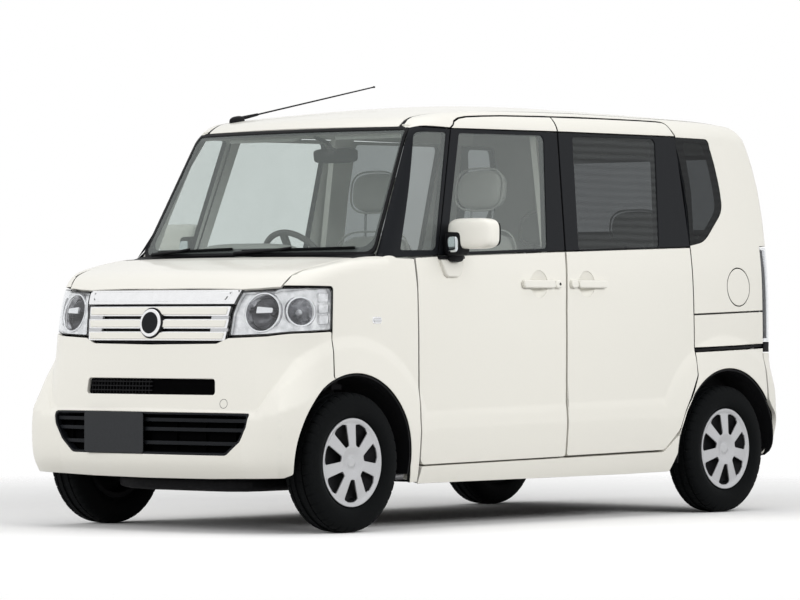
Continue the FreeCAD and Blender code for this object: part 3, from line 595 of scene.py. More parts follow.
def shader_nodes(name):
    """An empty material, its nodes and its links."""
    made = bpy.data.materials.new(name)
    made.use_nodes = True
    tree = made.node_tree
    tree.nodes.clear()
    return made, tree.nodes, tree.links


def surface(name, colour, rough=0.5, metal=0.0, grain=60.0, shade=0.06, bump=0.0, coat=0.0, kind="noise",
            shine=0.5, sheen=0.0):
    """A painted, moulded, woven or cast surface, whose colour varies with a fine procedural pattern."""
    made, nodes, links = shader_nodes(name)
    where = nodes.new("ShaderNodeTexCoord")
    if kind == "noise":
        pattern = nodes.new("ShaderNodeTexNoise")
        pattern.inputs["Scale"].default_value, pattern.inputs["Detail"].default_value = grain, 3.0
        value = pattern.outputs["Fac"]
    elif kind == "flakes":
        pattern = nodes.new("ShaderNodeTexVoronoi")
        pattern.inputs["Scale"].default_value = grain
        value = pattern.outputs["Distance"]
    else:
        pattern = nodes.new("ShaderNodeTexWave")
        pattern.bands_direction = kind
        pattern.inputs["Scale"].default_value, pattern.inputs["Distortion"].default_value = grain, 0.4
        value = pattern.outputs["Fac"]
    links.new(where.outputs["Object"], pattern.inputs["Vector"])
    ramp = nodes.new("ShaderNodeValToRGB")
    ramp.color_ramp.elements[0].position, ramp.color_ramp.elements[1].position = 0.3, 0.7
    ramp.color_ramp.elements[0].color = (*[c * (1 - shade) for c in colour], 1)
    ramp.color_ramp.elements[1].color = (*[min(c * (1 + shade), 1) for c in colour], 1)
    links.new(value, ramp.inputs["Fac"])
    body = nodes.new("ShaderNodeBsdfPrincipled")
    body.inputs["Roughness"].default_value, body.inputs["Metallic"].default_value = rough, metal
    body.inputs["Coat Weight"].default_value, body.inputs["Coat Roughness"].default_value = coat, 0.03
    body.inputs["Sheen Weight"].default_value, body.inputs["Specular IOR Level"].default_value = sheen, shine
    links.new(ramp.outputs["Color"], body.inputs["Base Color"])
    if bump:
        raised = nodes.new("ShaderNodeBump")
        raised.inputs["Strength"].default_value, raised.inputs["Distance"].default_value = bump, 0.0015
        links.new(value, raised.inputs["Height"])
        links.new(raised.outputs["Normal"], body.inputs["Normal"])
    out = nodes.new("ShaderNodeOutputMaterial")
    links.new(body.outputs["BSDF"], out.inputs["Surface"])
    return made


def glazing(name, tint, haze=(0.0, 0.0), reflected_tone=(0.3, 0.3, 0.3), mirror=1.0):
    """Thin glass: tinted and clear straight on, a mirror at a glancing look.

    haze is how much of the given reflected tone shows from outside, between and on fine level lines: a
    painted reflection, as a flat veil with painted reflected lines.
    """
    made, nodes, links = shader_nodes(name)
    where, pattern = nodes.new("ShaderNodeTexCoord"), nodes.new("ShaderNodeTexNoise")
    pattern.inputs["Scale"].default_value = 3.0
    links.new(where.outputs["Object"], pattern.inputs["Vector"])
    ramp = nodes.new("ShaderNodeValToRGB")
    ramp.color_ramp.elements[0].color = (*[c * 0.96 for c in tint], 1)
    ramp.color_ramp.elements[1].color = (*tint, 1)
    links.new(pattern.outputs["Fac"], ramp.inputs["Fac"])
    wave, level = nodes.new("ShaderNodeTexWave"), nodes.new("ShaderNodeMapRange")
    wave.bands_direction = "Z"
    wave.inputs["Scale"].default_value, wave.inputs["Distortion"].default_value = 10.0, 1.6
    wave.inputs["Detail Scale"].default_value = 0.6
    links.new(where.outputs["Object"], wave.inputs["Vector"])
    links.new(wave.outputs["Fac"], level.inputs["Value"])
    level.inputs["To Min"].default_value, level.inputs["To Max"].default_value = haze
    reflection_veil, tinted = nodes.new("ShaderNodeBsdfDiffuse"), nodes.new("ShaderNodeMixShader")
    reflection_veil.inputs["Color"].default_value = (*reflected_tone, 1)
    side, outside = nodes.new("ShaderNodeNewGeometry"), nodes.new("ShaderNodeMath")
    outside.operation, outside.use_clamp = "SUBTRACT", True
    links.new(level.outputs["Result"], outside.inputs[0])
    links.new(side.outputs["Backfacing"], outside.inputs[1])
    links.new(outside.outputs["Value"], tinted.inputs["Fac"])
    clear, shiny = nodes.new("ShaderNodeBsdfTransparent"), nodes.new("ShaderNodeBsdfGlossy")
    links.new(ramp.outputs["Color"], clear.inputs["Color"])
    links.new(clear.outputs["BSDF"], tinted.inputs[1])
    links.new(reflection_veil.outputs["BSDF"], tinted.inputs[2])
    shiny.inputs["Roughness"].default_value = 0.01
    shiny.inputs["Color"].default_value = (mirror, mirror, mirror, 1)
    bend, mixed = nodes.new("ShaderNodeFresnel"), nodes.new("ShaderNodeMixShader")
    bend.inputs["IOR"].default_value = 1.33
    front_only = nodes.new("ShaderNodeMath")
    front_only.operation, front_only.use_clamp = "SUBTRACT", True
    links.new(bend.outputs["Fac"], front_only.inputs[0])
    links.new(side.outputs["Backfacing"], front_only.inputs[1])
    links.new(front_only.outputs["Value"], mixed.inputs["Fac"])
    links.new(tinted.outputs["Shader"], mixed.inputs[1])
    links.new(shiny.outputs["BSDF"], mixed.inputs[2])
    out = nodes.new("ShaderNodeOutputMaterial")
    links.new(mixed.outputs["Shader"], out.inputs["Surface"])
    return made


PAINT = surface("paint", (0.80, 0.785, 0.725), 0.38, 0.0, 900, 0.02, coat=0.35, kind="flakes", shine=0.3)
BLACK_GLOSS = surface("black_gloss", (0.009, 0.010, 0.012), 0.35, 0.0, 300, 0.2, shine=0.10)
BLACK = surface("black_plastic", (0.007, 0.007, 0.008), 0.55, 0.0, 420, 0.25, bump=0.25, shine=0.12)
# painted shade: a near-black, nearly matt sheet behind the bumper's openings
HOLLOW_SHADE = surface("dark_hollow", (0.0016, 0.0016, 0.0018), 0.95, 0.0, 60, 0.2, shine=0.02)
# painted shade: near-black for panel edge walls, gaps, the fuel pocket and hidden backs, which are really
# body colour lying in shadow
GAP_SHADE = surface("shut_line", (0.012, 0.012, 0.012), 0.8, 0.0, 120, 0.2, shine=0.1)
# the outside veils of these glasses are painted reflection of the bright studio
CLEAR = glazing("clear_glass", (0.86, 0.895, 0.88), (0.16, 0.16), (0.62, 0.68, 0.665), 0.8)
SCREEN_GLASS = glazing("screen_glass", (0.70, 0.745, 0.735), (0.16, 0.16), (0.50, 0.56, 0.54), 0.8)
DARK = glazing("dark_glass", (0.27, 0.28, 0.285), (0.12, 0.21), (0.20, 0.215, 0.22), 0.5)
DARKER = glazing("darker_glass", (0.18, 0.19, 0.195), (0.08, 0.13), (0.14, 0.15, 0.155), 0.4)
INNER_FACE = glazing("glass_inner_face", (0.98, 0.98, 0.98))
LENS = glazing("lamp_lens", (0.98, 0.985, 0.99), (0.02, 0.02), (0.8, 0.82, 0.84))
CHROME = surface("chrome", (0.86, 0.865, 0.875), 0.14, 0.92, 30, 0.02)
MIRROR_GLASS = surface("mirror_glass", (0.62, 0.66, 0.68), 0.03, 1.0, 20, 0.02)
# the reflector's colour patches, dark to light, are painted reflections
REFLECTOR = surface("reflector", (0.34, 0.34, 0.355), 0.14, 0.9, 30, 0.55, bump=1.0)
HOUSING = surface("lamp_housing", (0.84, 0.845, 0.855), 0.20, 0.6, 30, 0.28, bump=0.6)
AMBER = surface("amber_bulb", (0.72, 0.45, 0.24), 0.25, 0.0, 80, 0.1, coat=0.5)
RED = surface("lamp_red", (0.36, 0.012, 0.016), 0.16, 0.0, 26, 0.12, coat=1.0, kind="X")
LAMP_CLEAR = surface("lamp_clear", (0.62, 0.63, 0.65), 0.12, 0.35, 26, 0.1, coat=1.0, kind="Z")
RUBBER = surface("rubber", (0.0050, 0.0056, 0.0060), 0.70, 0.0, 260, 0.25, bump=0.3, shine=0.05)
SILVER = surface("wheel_silver", (0.50, 0.505, 0.52), 0.38, 0.45, 500, 0.05, coat=0.3, kind="flakes")
CHASSIS = surface("chassis_black", (0.008, 0.008, 0.009), 0.65, 0.0, 60, 0.3, bump=0.2, shine=0.12)
CAST = surface("cast_metal", (0.16, 0.16, 0.17), 0.5, 0.8, 160, 0.15, bump=0.4)
STEEL = surface("steel", (0.28, 0.28, 0.29), 0.4, 0.9, 130, 0.12, bump=0.1)
INTERIOR = surface("interior", (0.72, 0.715, 0.68), 0.8, 0.0, 300, 0.07, bump=0.2)
HEADLINER = surface("headliner", (0.74, 0.73, 0.69), 0.9, 0.0, 500, 0.06, bump=0.3)
CARPET = surface("carpet", (0.12, 0.115, 0.11), 0.95, 0.0, 700, 0.25, bump=0.9)
DASH = surface("dash_plastic", (0.105, 0.10, 0.095), 0.62, 0.0, 350, 0.12, bump=0.35)
DASH_LIGHT = surface("dash_light", (0.42, 0.42, 0.39), 0.6, 0.0, 350, 0.08, bump=0.3)
FABRIC = surface("seat_fabric", (0.36, 0.355, 0.335), 0.92, 0.0, 60, 0.14, bump=0.6, kind="X", sheen=0.3)
PLATE = surface("plate_grey", (0.024, 0.0255, 0.028), 0.5, 0.0, 90, 0.08, shine=0.2)
SOCKET = surface("socket", (0.05, 0.05, 0.055), 0.35, 0.3, 80, 0.15)
# painted reflection: a dark grey dish colour standing in for the dark reflections in the headlamp bowl
DARK_REFLECTION = surface("lamp_shade", (0.17, 0.17, 0.18), 0.25, 0.7, 26, 0.60, bump=0.8)

SLOTS = {"paint": PAINT, "black_trim": BLACK_GLOSS, "black_plastic": BLACK, "clear_glass": CLEAR,
         "dark_glass": DARK, "lamp_clear": LENS, "lamp_red": RED, "chrome": CHROME, "rubber": RUBBER,
         "wheel_silver": SILVER, "chassis_black": CHASSIS, "cast_metal": CAST, "steel": STEEL,
         "interior": INTERIOR, "dash_plastic": DASH, "seat_fabric": FABRIC}
REPLACED = []


def stand_in(thing, *nodes):
    """Hides CAD nodes and lists them as replaced, each of which is named once; thing, the piece that stands
    for them, is not used.
    """
    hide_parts(*nodes)
    REPLACED.extend(nodes)


# ---- lower body ----------------------------------------------------------------------------------

# the fixed panels' edge walls get painted shade in place of their real body colour
WALL = (PAINT, GAP_SHADE, INTERIOR)
GAP = 0.0034
LOW_ROWS = crease_rows(NOSE_CORNER[0])
WIDE_ROWS = crease_rows(0.0)
WIDE_ROWS = np.concatenate([WIDE_ROWS, WIDE_ROWS * [-1, 1]])
WIDE_ROWS = WIDE_ROWS[np.abs(WIDE_ROWS[:, 0]) < 1.05]


def wheel_arc(axle, first, last, count):
    """Points (y, z) round a wheel opening; angles in degrees from the tail towards the roof."""
    return arc((axle, AXLE_Z), LIP, first, last, count)


def rows_for(wrap):
    """The crease's rows in another map of the side."""
    y = LOW_ROWS[:, 0] + NOSE_CORNER[0] - run_of(0.0)
    on_side = y > -1.52
    return np.array(wrap.side(*[tuple(p) for p in np.stack([y, LOW_ROWS[:, 1]], 1)[on_side]]))


# front bumper: run along the bumper and height
SLOT = [(-0.356, 0.552, 0.012), (0.356, 0.552, 0.012), (0.350, 0.616, 0.014), (-0.350, 0.616, 0.014)]
MOUTH = mirrored([(0.424, 0.312, 0.035), (0.494, 0.368, 0.03), (0.528, 0.428, 0.03), (0.539, 0.482, 0.010)])
bumper_half = [(0.0, 0.752), (0.34, 0.756, 0.03), (0.395, 0.778, 0.01), (1.006, 0.803, 0.006),
               (1.005, 0.774), (0.9905, 0.6255)]
bumper_half += [(run_of(y), z) for y, z in wheel_arc(FRONT_AXLE, 111, 181, 24)]
bumper_half += [(0.771, 0.240, 0.01), (0.7265, 0.226, 0.02), (0.32, 0.216), (0.0, 0.214)]
# the bumper's back face is painted shade
front_bumper = panel("front_bumper_skin", mirrored(bumper_half), NOSE_WIDE, (PAINT, PAINT, GAP_SHADE), 0.016, 0,
                     (SLOT, MOUTH), 0.018, 0.003, rows=WIDE_ROWS)[0]
stand_in(front_bumper, "front_bumper")

# fender: from the lamp and the bumper's cut to the door, and over the shoulder to the bonnet's cut
fender = FENDER.side((-1.3665, 0.612), (-1.353, 0.774), (-1.350, 0.803, 0.004), (-1.3425, 0.9845, 0.016))
fender += [FENDER.at(*place) for place in ((0.71, -1.50, 0.987), (0.592, -1.54, 0.988),
                                           (0.604, -1.48, 1.036), (0.624, -1.34, 1.077),
                                           (0.643, -1.21, 1.10), (0.652, -1.157, 1.10),
                                           (0.662, -1.045, 1.10), (0.698, -0.95, 1.102),
                                           (0.700, -0.841, 1.101), (0.707, -0.831, 1.0))]
fender += FENDER.side((-0.829, 0.97), (-0.8225, 0.257), (-0.821, 0.192), (-0.872, 0.190))
fender += FENDER.side(*wheel_arc(FRONT_AXLE, -4, 111, 44))
panel("fender", fender, FENDER, WALL, 0.016, rows=rows_for(FENDER), sides=True, step=0.016)
stand_in(bpy.data.objects["fender_left"], "front_fenders")

# doors: outlines up the side are y, z, radius
FRONT_DOOR = [(-0.817, 0.257, 0.03), (-0.826, 1.0), (-0.836, 1.106, 0.006), (-0.684, 1.113, 0.004),
              (0.155, 1.143), (0.145, 0.90), (0.143, 0.270, 0.012)]
SLIDING_DOOR = [(0.148, 0.272, 0.012), (0.836, 0.282, 0.04), (0.932, 0.369, 0.06), (0.968, 0.456, 0.06),
                (1.056, 0.608, 0.03), (1.053, 0.872), (1.048, 1.172), (0.160, 1.143), (0.150, 0.90)]
# the shut line over the doors, from the front one's hinge side to the sliding one's rear edge
FRONT_TOP = [(-0.5205, 1.6436), (-0.503, 1.658), (-0.4888, 1.6746), (-0.4522, 1.6886), (-0.3999, 1.6969),
             (-0.280, 1.7045), (-0.1624, 1.7100), (0.020, 1.7145), (0.1745, 1.7178)]
REAR_TOP = [(0.1765, 1.7178), (0.530, 1.7226), (0.8222, 1.7246), (0.9298, 1.7241), (0.965, 1.7225),
            (0.9813, 1.7190), (0.990, 1.7110), (0.9952, 1.7015), (1.0097, 1.6796), (1.0255, 1.6586)]
FRONT_WINDOW = [(-0.469, 1.625, 0.02), (0.092, 1.633, 0.025), (0.033, 1.154, 0.02), (-0.631, 1.129, 0.02)]
SLIDING_WINDOW = [(0.291, 1.636, 0.02), (0.875, 1.644, 0.025), (0.821, 1.169, 0.02), (0.251, 1.148, 0.02)]
CABIN_WALL = ((0.24, 0.612), (1.075, 0.612), (1.12, 0.650), (1.64, 0.588), (1.708, 0.575), (2.0, 0.57))


def to_cabin(points, normals):
    """Straight inwards to the cabin's wall."""
    inner = points.copy()
    inner[:, 0] = np.interp(points[:, 2], *zip(*CABIN_WALL))
    return inner


def shrunk(corners, by=GAP):
    """An outline moved in by half a shut line, its radii kept."""
    flat = np.array([c[:2] for c in corners])
    x, y = flat.T
    turned = float(np.sum(x * np.roll(y, -1) - y * np.roll(x, -1))) > 0
    moved = inset(flat, by if turned else -by)
    return [(*p, *c[2:]) for p, c in zip(moved.tolist(), corners)]


DOOR_TOP = {  # the black band round the glass, and the body-coloured strip over it
    "front": ([(-0.684, 1.116), (-0.519, 1.641), (0.1855, 1.649), (0.153, 1.146)],
              shrunk(FRONT_TOP + [(0.1895, 1.6516)])),
    "sliding": ([(0.162, 1.146), (0.1945, 1.649), (1.023, 1.656), (1.046, 1.175)],
                shrunk([(0.1915, 1.6516)] + REAR_TOP)),
}
DOOR_FINISH = (PAINT, PAINT, INTERIOR)
# each handle: the recess's middle (y, z) and radius, and the handle's ends
HANDLES = {"front": (-0.036, 1.002, 0.057, -0.157, 0.107), "sliding": (0.290, 1.004, 0.055, 0.168, 0.418)}


def dish(wrap, y, z, radius, depth):
    """A shallow bowl pressed into the skin round a place on the side."""
    middle = np.array(wrap.side((y, z))[0])

    def place(flat):
        points, normals = wrap(flat)
        off = (flat - middle) / radius
        far = np.clip(np.linalg.norm(off, axis=1, keepdims=True), 0, 1)
        points = points - normals * depth * (1 - far ** 2) ** 0.5
        slope = np.concatenate([np.zeros((len(flat), 1)), off], 1) * min(depth / radius, 0.6)
        normals = normals - slope
        return points, normals / np.linalg.norm(normals, axis=1, keepdims=True)
    return place


SIDE_ROWS = rows_for(SIDE)
for key, outline, window in (("front", FRONT_DOOR, FRONT_WINDOW), ("sliding", SLIDING_DOOR, SLIDING_WINDOW)):
    where = "front_door_SIDE_body" if key == "front" else "body_shell"
    y, z, radius, first_y, last_y = HANDLES[key]
    skins = panel(f"{key}_door_skin", SIDE.side(*shrunk(outline)), SIDE, DOOR_FINISH, rows=SIDE_ROWS,
                  sides=True, body=where, back=to_cabin, step=0.02,
                  holes=(SIDE.side(*circle(y, z, radius)),))
    panel(f"{key}_handle_recess", SIDE.side(*circle(y, z, radius)), dish(SIDE, y, z, radius, 0.022), PAINT,
          0.004, 0.0005, sides=True, body=where, step=0.008, edge=0.0006)
    part = 0.0575 if key == "front" else 0.2175
    fixed, pull = ((part, last_y), (first_y, part)) if key == "front" else ((first_y, part), (part, last_y))
    for piece, (start, end), lift in (("bar", pull, 0.019), ("end", fixed, 0.017)):
        shape = block(start + 0.0012, z - 0.0175, end - 0.0012, z + 0.0165, 0.013)
        panel(f"{key}_handle_{piece}", SIDE.side(*shape), SIDE, PAINT, 0.016, -lift, sides=True, body=where,
              step=0.01, edge=0.007)
    for foot, at in (("front", first_y + 0.007), ("rear", last_y - 0.043)):
        shape = block(at, z - 0.012, at + 0.036, z + 0.011, 0.008)
        panel(f"{key}_handle_{foot}_foot", SIDE.side(*shape), SIDE, PAINT, 0.02, -0.006, sides=True,
              body=where, step=0.01)
    if key == "front":
        panel("door_keyhole", SIDE.side(*circle(0.086, z, 0.0062, 20)), SIDE, BLACK, 0.003, -0.0185,
              sides=True, body=where, step=0.01, edge=0.001)
    band, strip = DOOR_TOP[key]
    hole = SIDE.side(*shrunk(window, -0.001))
    panel(f"{key}_door_band", SIDE.side(*band), SIDE, (BLACK_GLOSS, BLACK, INTERIOR), 0.03, 0.0015, (hole,),
          sides=True, body=where, step=0.03)
    panel(f"{key}_door_top", SIDE.side(*strip), SIDE, (PAINT, BLACK, INTERIOR), 0.03, sides=True,
          body=where, step=0.02)
    clear = key == "front"
    glass = CLEAR if clear else DARK
    panes = panel(f"{key}_door_glass_pane", SIDE.side(*shrunk(window, -0.003)), SIDE,
                  (glass, glass, INNER_FACE), 0.004, 0.006, sides=True, body=where,
                  step=0.04, edge=0.0008)
    for (name, _), leaf, pane in zip(SIDES, skins, panes):
        stand_in(leaf, f"{key}_door_{name}")
        if clear:
            stand_in(pane, f"front_door_glass_{name}")
    if not clear:
        stand_in(panes[0], "sliding_door_glass")

# sill under the doors
sill = [(-0.8155, 0.184, 0.004), (0.60, 0.186), (0.885, 0.190, 0.01)] + wheel_arc(REAR_AXLE, 182, 163, 8)
sill += [(0.930, 0.352), (0.834, 0.2755, 0.04), (0.143, 0.266), (-0.80, 0.2535, 0.01)]
# the sill's back face is painted shade
panel("sill", SIDE.side(*sill), SIDE, (PAINT, PAINT, GAP_SHADE), 0.075, sides=True, rows=SIDE_ROWS)

# rear quarter: over the glass, the sliding rail's cover, and the fender under it
QUARTER_GLASS = [(1.024, 1.654, 0.004), (1.272, 1.653, 0.028), (1.318, 1.340, 0.10), (1.160, 1.199, 0.16),
                 (1.050, 1.181, 0.01)]
lamp_front, lamp_high = 1.570, 1.180  # the tail lamps' front edge and top


def on_quarter(*corners):
    """Corners on the side in the quarter's map."""
    return QUARTER.side(*corners)


upper = on_quarter((1.0565, 0.879), (1.0515, 1.178), (1.161, 1.196, 0.16), (1.321, 1.339, 0.10),
                   (1.275, 1.656, 0.03), (1.028, 1.657))


def over_door(y, z):
    """A place on the side, as high as where it turns into the roof, in the quarter's map."""
    return QUARTER.at(float(SIDE(np.array(SIDE.side((y, z))))[0][0][0]), y, z)


def on_roof(x, y):
    """A place on the roof in the quarter's map."""
    return QUARTER.at(*[float(c) for c in roof_map(np.array([[x, y]]))[0][0]])


DITCH_LINE = curve([(-0.76, 0.534), (-0.70, 0.526), (-0.64, 0.524), (-0.52, 0.530), (-0.30, 0.545),
                    (0.0, 0.5555), (1.6, 0.5555)], 0.03)
DITCH_WIDTH = curve([(-0.76, 0.016), (-0.68, 0.012), (-0.58, 0.007), (0.0, 0.006), (1.6, 0.006)], 0.02)
DITCH_PLACES = (-0.736, -0.70, -0.66, -0.61, -0.56, -0.50, -0.42, -0.32, -0.20, 0.0, 0.7, 1.45)
over_doors = shrunk(FRONT_TOP + REAR_TOP[1:], -GAP)[1:-1]
upper += [over_door(1.0285, 1.661)] + [over_door(*place) for place in reversed(over_doors)]
upper += [over_door(-0.527, 1.647), over_door(-0.70, 1.649), on_roof(0.584, -0.735), on_roof(0.566, -0.741)]
upper += [on_roof(float(DITCH_LINE(y) + DITCH_WIDTH(y)) + 0.001, y)
          for y in DITCH_PLACES] + [on_roof(0.5575, 1.492)]
upper += [QUARTER.at(*place) for place in ((0.556, 1.555, 1.70), (0.578, 1.58, 1.60), (0.598, 1.63, 1.45),
                                           (0.6145, 1.66, 1.30), (0.6165, 1.66, lamp_high + 0.003))]
upper += on_quarter((lamp_front, lamp_high + 0.003, 0.004), (lamp_front, 0.895))
lid = on_quarter(*circle(1.390, 0.998, 0.087, 40))
for side in SIDES:
    opening = (lid,) if side[0] == "left" else ()
    # the panel's edge walls are painted shade
    thing = panel("quarter_panel", upper, QUARTER, (PAINT, GAP_SHADE, HEADLINER), 0.028, 0, opening,
                  sides=(side,))[0]
    stand_in(thing, f"side_frame_{side[0]}")
rail_cover = on_quarter((1.0575, 0.731, 0.002), (1.0565, 0.872), (lamp_front, 0.888),
                        (lamp_front, 0.7455, 0.002))
QUARTER_ROWS = rows_for(QUARTER)
panel("rail_cover", rail_cover, QUARTER, WALL, 0.028, rows=QUARTER_ROWS, sides=True)
# a black strip of painted shade where the slot's body-coloured lip lies in shadow
rail_slot = on_quarter((1.0585, 0.7145, 0.002), (1.0575, 0.7265), (lamp_front, 0.7425),
                       (lamp_front, 0.7305, 0.002))
panel("rail_slot", rail_slot, QUARTER, BLACK, 0.02, 0.007, sides=True)
rear_fender = [(1.0585, 0.709), (1.059, 0.607, 0.03), (0.971, 0.455, 0.06), (0.9355, 0.371)]
rear_fender += wheel_arc(REAR_AXLE, 166, 36.5, 46) + [(lamp_front, 0.7035), (lamp_front, 0.7245)]
panel("rear_fender", on_quarter(*rear_fender), QUARTER, WALL, 0.028, rows=QUARTER_ROWS, sides=True,
      step=0.016)
lid_round = on_quarter(*circle(1.390, 0.998, 0.0825))
fuel_lid = panel("fuel_lid_skin", lid_round, QUARTER, WALL, 0.010, body="fuel_lid_body")[0]
stand_in(fuel_lid, "fuel_lid")
# a dark pocket of painted shade behind the fuel lid's gap
panel("fuel_pocket", lid, QUARTER, GAP_SHADE, 0.004, 0.030)


def arch_liner(name, sign, axle):
    """The black wall round a wheel opening, from inside the body out to the skin's lip."""
    turns, inner, outer, inside_x = np.radians(np.linspace(-9, 189, 67)), 0.3465, 0.3525, 0.46
    rim = np.array([(axle + 0.3495 * math.cos(t), AXLE_Z + 0.3495 * math.sin(t)) for t in turns])
    reach = SIDE(np.array(SIDE.side(*[tuple(p) for p in rim])))[0][:, 0] - 0.005
    verts = []
    for t, x in zip(turns, reach):
        for radius, across in ((inner, inside_x), (inner, x), (outer, x), (outer, inside_x)):
            verts.append((across * sign, axle + radius * math.cos(t), AXLE_Z + radius * math.sin(t)))
    last, faces = len(turns) - 1, []
    for k in range(last):
        for j in range(4):
            a, b = 4 * k + j, 4 * k + (j + 1) % 4
            faces.append((a, b, b + 4, a + 4) if sign < 0 else (a, a + 4, b + 4, b))
    ends = [(3, 2, 1, 0), (4 * last, 4 * last + 1, 4 * last + 2, 4 * last + 3)]
    faces += ends if sign < 0 else [end[::-1] for end in ends]
    return emit(name, verts, faces, BLACK, "body_shell")


for name, sign in SIDES:
    arch_liner(f"arch_front_{name}", sign, FRONT_AXLE)
    arch_liner(f"arch_rear_{name}", sign, REAR_AXLE)


# rear bumper: run round the tail, from the middle
def tail_side(y, z, *radius):
    """A corner on the side, in the map round the tail."""
    return (TAIL_CORNER[2] * math.pi / 2 + TAIL_CORNER[0] + (TAIL_CORNER[1] - y), z, *radius)


rear_half = [(0.0, 0.496), (0.580, 0.496, 0.03), (0.602, 0.560), (0.607, 0.7045, 0.004),
             tail_side(lamp_front + GAP, 0.7045), tail_side(lamp_front + GAP, 0.497)]
rear_half += [tail_side(y, z) for y, z in wheel_arc(REAR_AXLE, 36, 0, 10) if y > lamp_front + 0.006]
rear_half += [tail_side(1.636, 0.246, 0.01), (0.62, 0.236), (0.0, 0.232)]
# the bumper's back face is painted shade
rear_bumper = panel("rear_bumper_skin", mirrored(rear_half), TAIL_WIDE, (PAINT, PAINT, GAP_SHADE), 0.018)[0]
stand_in(rear_bumper, "rear_bumper")
for name, sign in SIDES:
    fog = block(sign * 0.47, 0.40, sign * 0.56, 0.43, 0.012)
    panel(f"rear_reflector_{name}", fog, TAIL_WIDE, RED, 0.006, -0.003)


# tail lamps
def lamp_ring(low, high):
    """A tail lamp's outline between two heights."""
    u_in, u_out = TAIL.at(0.6185, 1.655, 1.0)[0], TAIL.side((1.5735, 1.0))[0][0]
    return [(u_in, low, 0.006), (u_out, low, 0.006), (u_out, high, 0.03), (u_in, high, 0.006)]


tails = panel("tail_lamp_outer", lamp_ring(0.758, 1.176), TAIL, LENS, 0.004, -0.002, sides=True)
stand_in(tails[0], "tail_lamps")
panel("tail_lamp_body", lamp_ring(0.758, 1.176), TAIL, HOUSING, 0.02, 0.022, sides=True)
rear_inner, rear_outer = TAIL.at(0.624, 1.655, 1.0)[0], 0.088
strips = (  # name, height from and to, place round the corner from and to, finish, slot
    ("red", 0.93, 1.168, rear_inner, rear_outer, RED, "lamp_red"),
    ("amber", 0.855, 0.922, rear_inner, rear_outer, AMBER, "lamp_clear"),
    ("low", 0.770, 0.847, rear_inner, rear_outer, LAMP_CLEAR, "lamp_clear"),
    ("corner", 0.770, 1.168, 0.091, 0.137, LAMP_CLEAR, "lamp_clear"),
    ("edge", 0.770, 1.168, 0.139, 0.1595, SOCKET, "black_plastic"),
)
for name, low, high, inner, outer, finish, slot in strips:
    ring = [(inner, low, 0.004), (outer, low, 0.004), (outer, high, 0.008), (inner, high, 0.004)]
    panel(f"tail_lamp_{name}", ring, TAIL, finish, 0.012, 0.006, sides=True)
panel("tail_lamp_end", lamp_ring(0.709, 0.754), TAIL, BLACK, 0.02, 0.0, sides=True)

# tailgate: x across, height and then over the top
gate_half = [(0.0, 0.503), (0.595, 0.503, 0.03), (0.603, 0.700), (0.609, 1.180), (0.589, 1.450),
             (0.547, 1.640)]
edge_v = GATE_TOP + GATE_BEND * math.atan2(0.145, 0.045)
gate_half += [(0.545, edge_v, 0.03), (0.0, edge_v + 0.004)]
gate_glass = [(0.530, 1.235, 0.04), (0.505, 1.612, 0.045), (-0.505, 1.612, 0.045), (-0.530, 1.235, 0.04)]
gate_skin = panel("tailgate_skin", mirrored(gate_half), GATE, (PAINT, PAINT, INTERIOR), 0.04, 0,
                  (gate_glass,), body="tailgate_body", step=0.02)[0]
stand_in(gate_skin, "tailgate")
gate_pane = panel("tailgate_pane", shrunk(gate_glass, 0.001), GATE, (DARK, DARK, INNER_FACE), 0.004, 0.003,
                  body="tailgate_body", step=0.04)[0]
stand_in(gate_pane, "tailgate_glass")
frit = shrunk(gate_glass, -0.012)
panel("tailgate_glass_border", frit, GATE, BLACK_GLOSS, 0.004, 0.0085, (shrunk(gate_glass, 0.028),),
      body="tailgate_body", step=0.04)
garnish = [(0.31, 0.975, 0.02), (0.31, 1.022, 0.02), (-0.31, 1.022, 0.02), (-0.31, 0.975, 0.02)]
panel("tailgate_garnish", garnish, GATE, PAINT, 0.02, -0.014, body="tailgate_body", edge=0.006)
panel("tailgate_grip", [(0.07, 0.966, 0.004), (0.07, 0.975, 0.004), (-0.07, 0.975, 0.004),
                        (-0.07, 0.966, 0.004)], GATE, BLACK, 0.012, -0.008, body="tailgate_body")
rear_plate = board((0, 1.6655, 0.840), (-1, 0, 0), (0, 0, 1))
plate_outline = oblong(0.165, 0.0825, 0.012)
panel("rear_plate", plate_outline, rear_plate, PLATE, 0.0015, -0.0015, body="tailgate_body",
      step=0.04)

# roof, header and mouldings
# the roof's front edge: its place on the middle line, and x squared over its sweep back
roof_front, roof_front_bow = -0.803, 4.8
roof_half = [(x, roof_front + x * x / roof_front_bow) for x in (0.0, 0.09, 0.18, 0.27, 0.36, 0.45)] + [
    (0.531, -0.7435, 0.006)]
roof_half += [(float(DITCH_LINE(y)), y) for y in DITCH_PLACES[1:]] + [(0.5555, 1.4825), (0.0, 1.4800)]
roof_skin = panel("roof_skin", mirrored(roof_half), roof_map, (PAINT, PAINT, HEADLINER), 0.030, step=0.03)[0]
stand_in(roof_skin, "roof_panel")
ditch = [(float(DITCH_LINE(y)) + 0.0005, y) for y in reversed(DITCH_PLACES)]
ditch += [(float(DITCH_LINE(y) + DITCH_WIDTH(y)) + 0.0005, y) for y in DITCH_PLACES]
panel("roof_ditch", ditch, roof_map, BLACK, 0.012, 0.0005, sides=True, step=0.02)

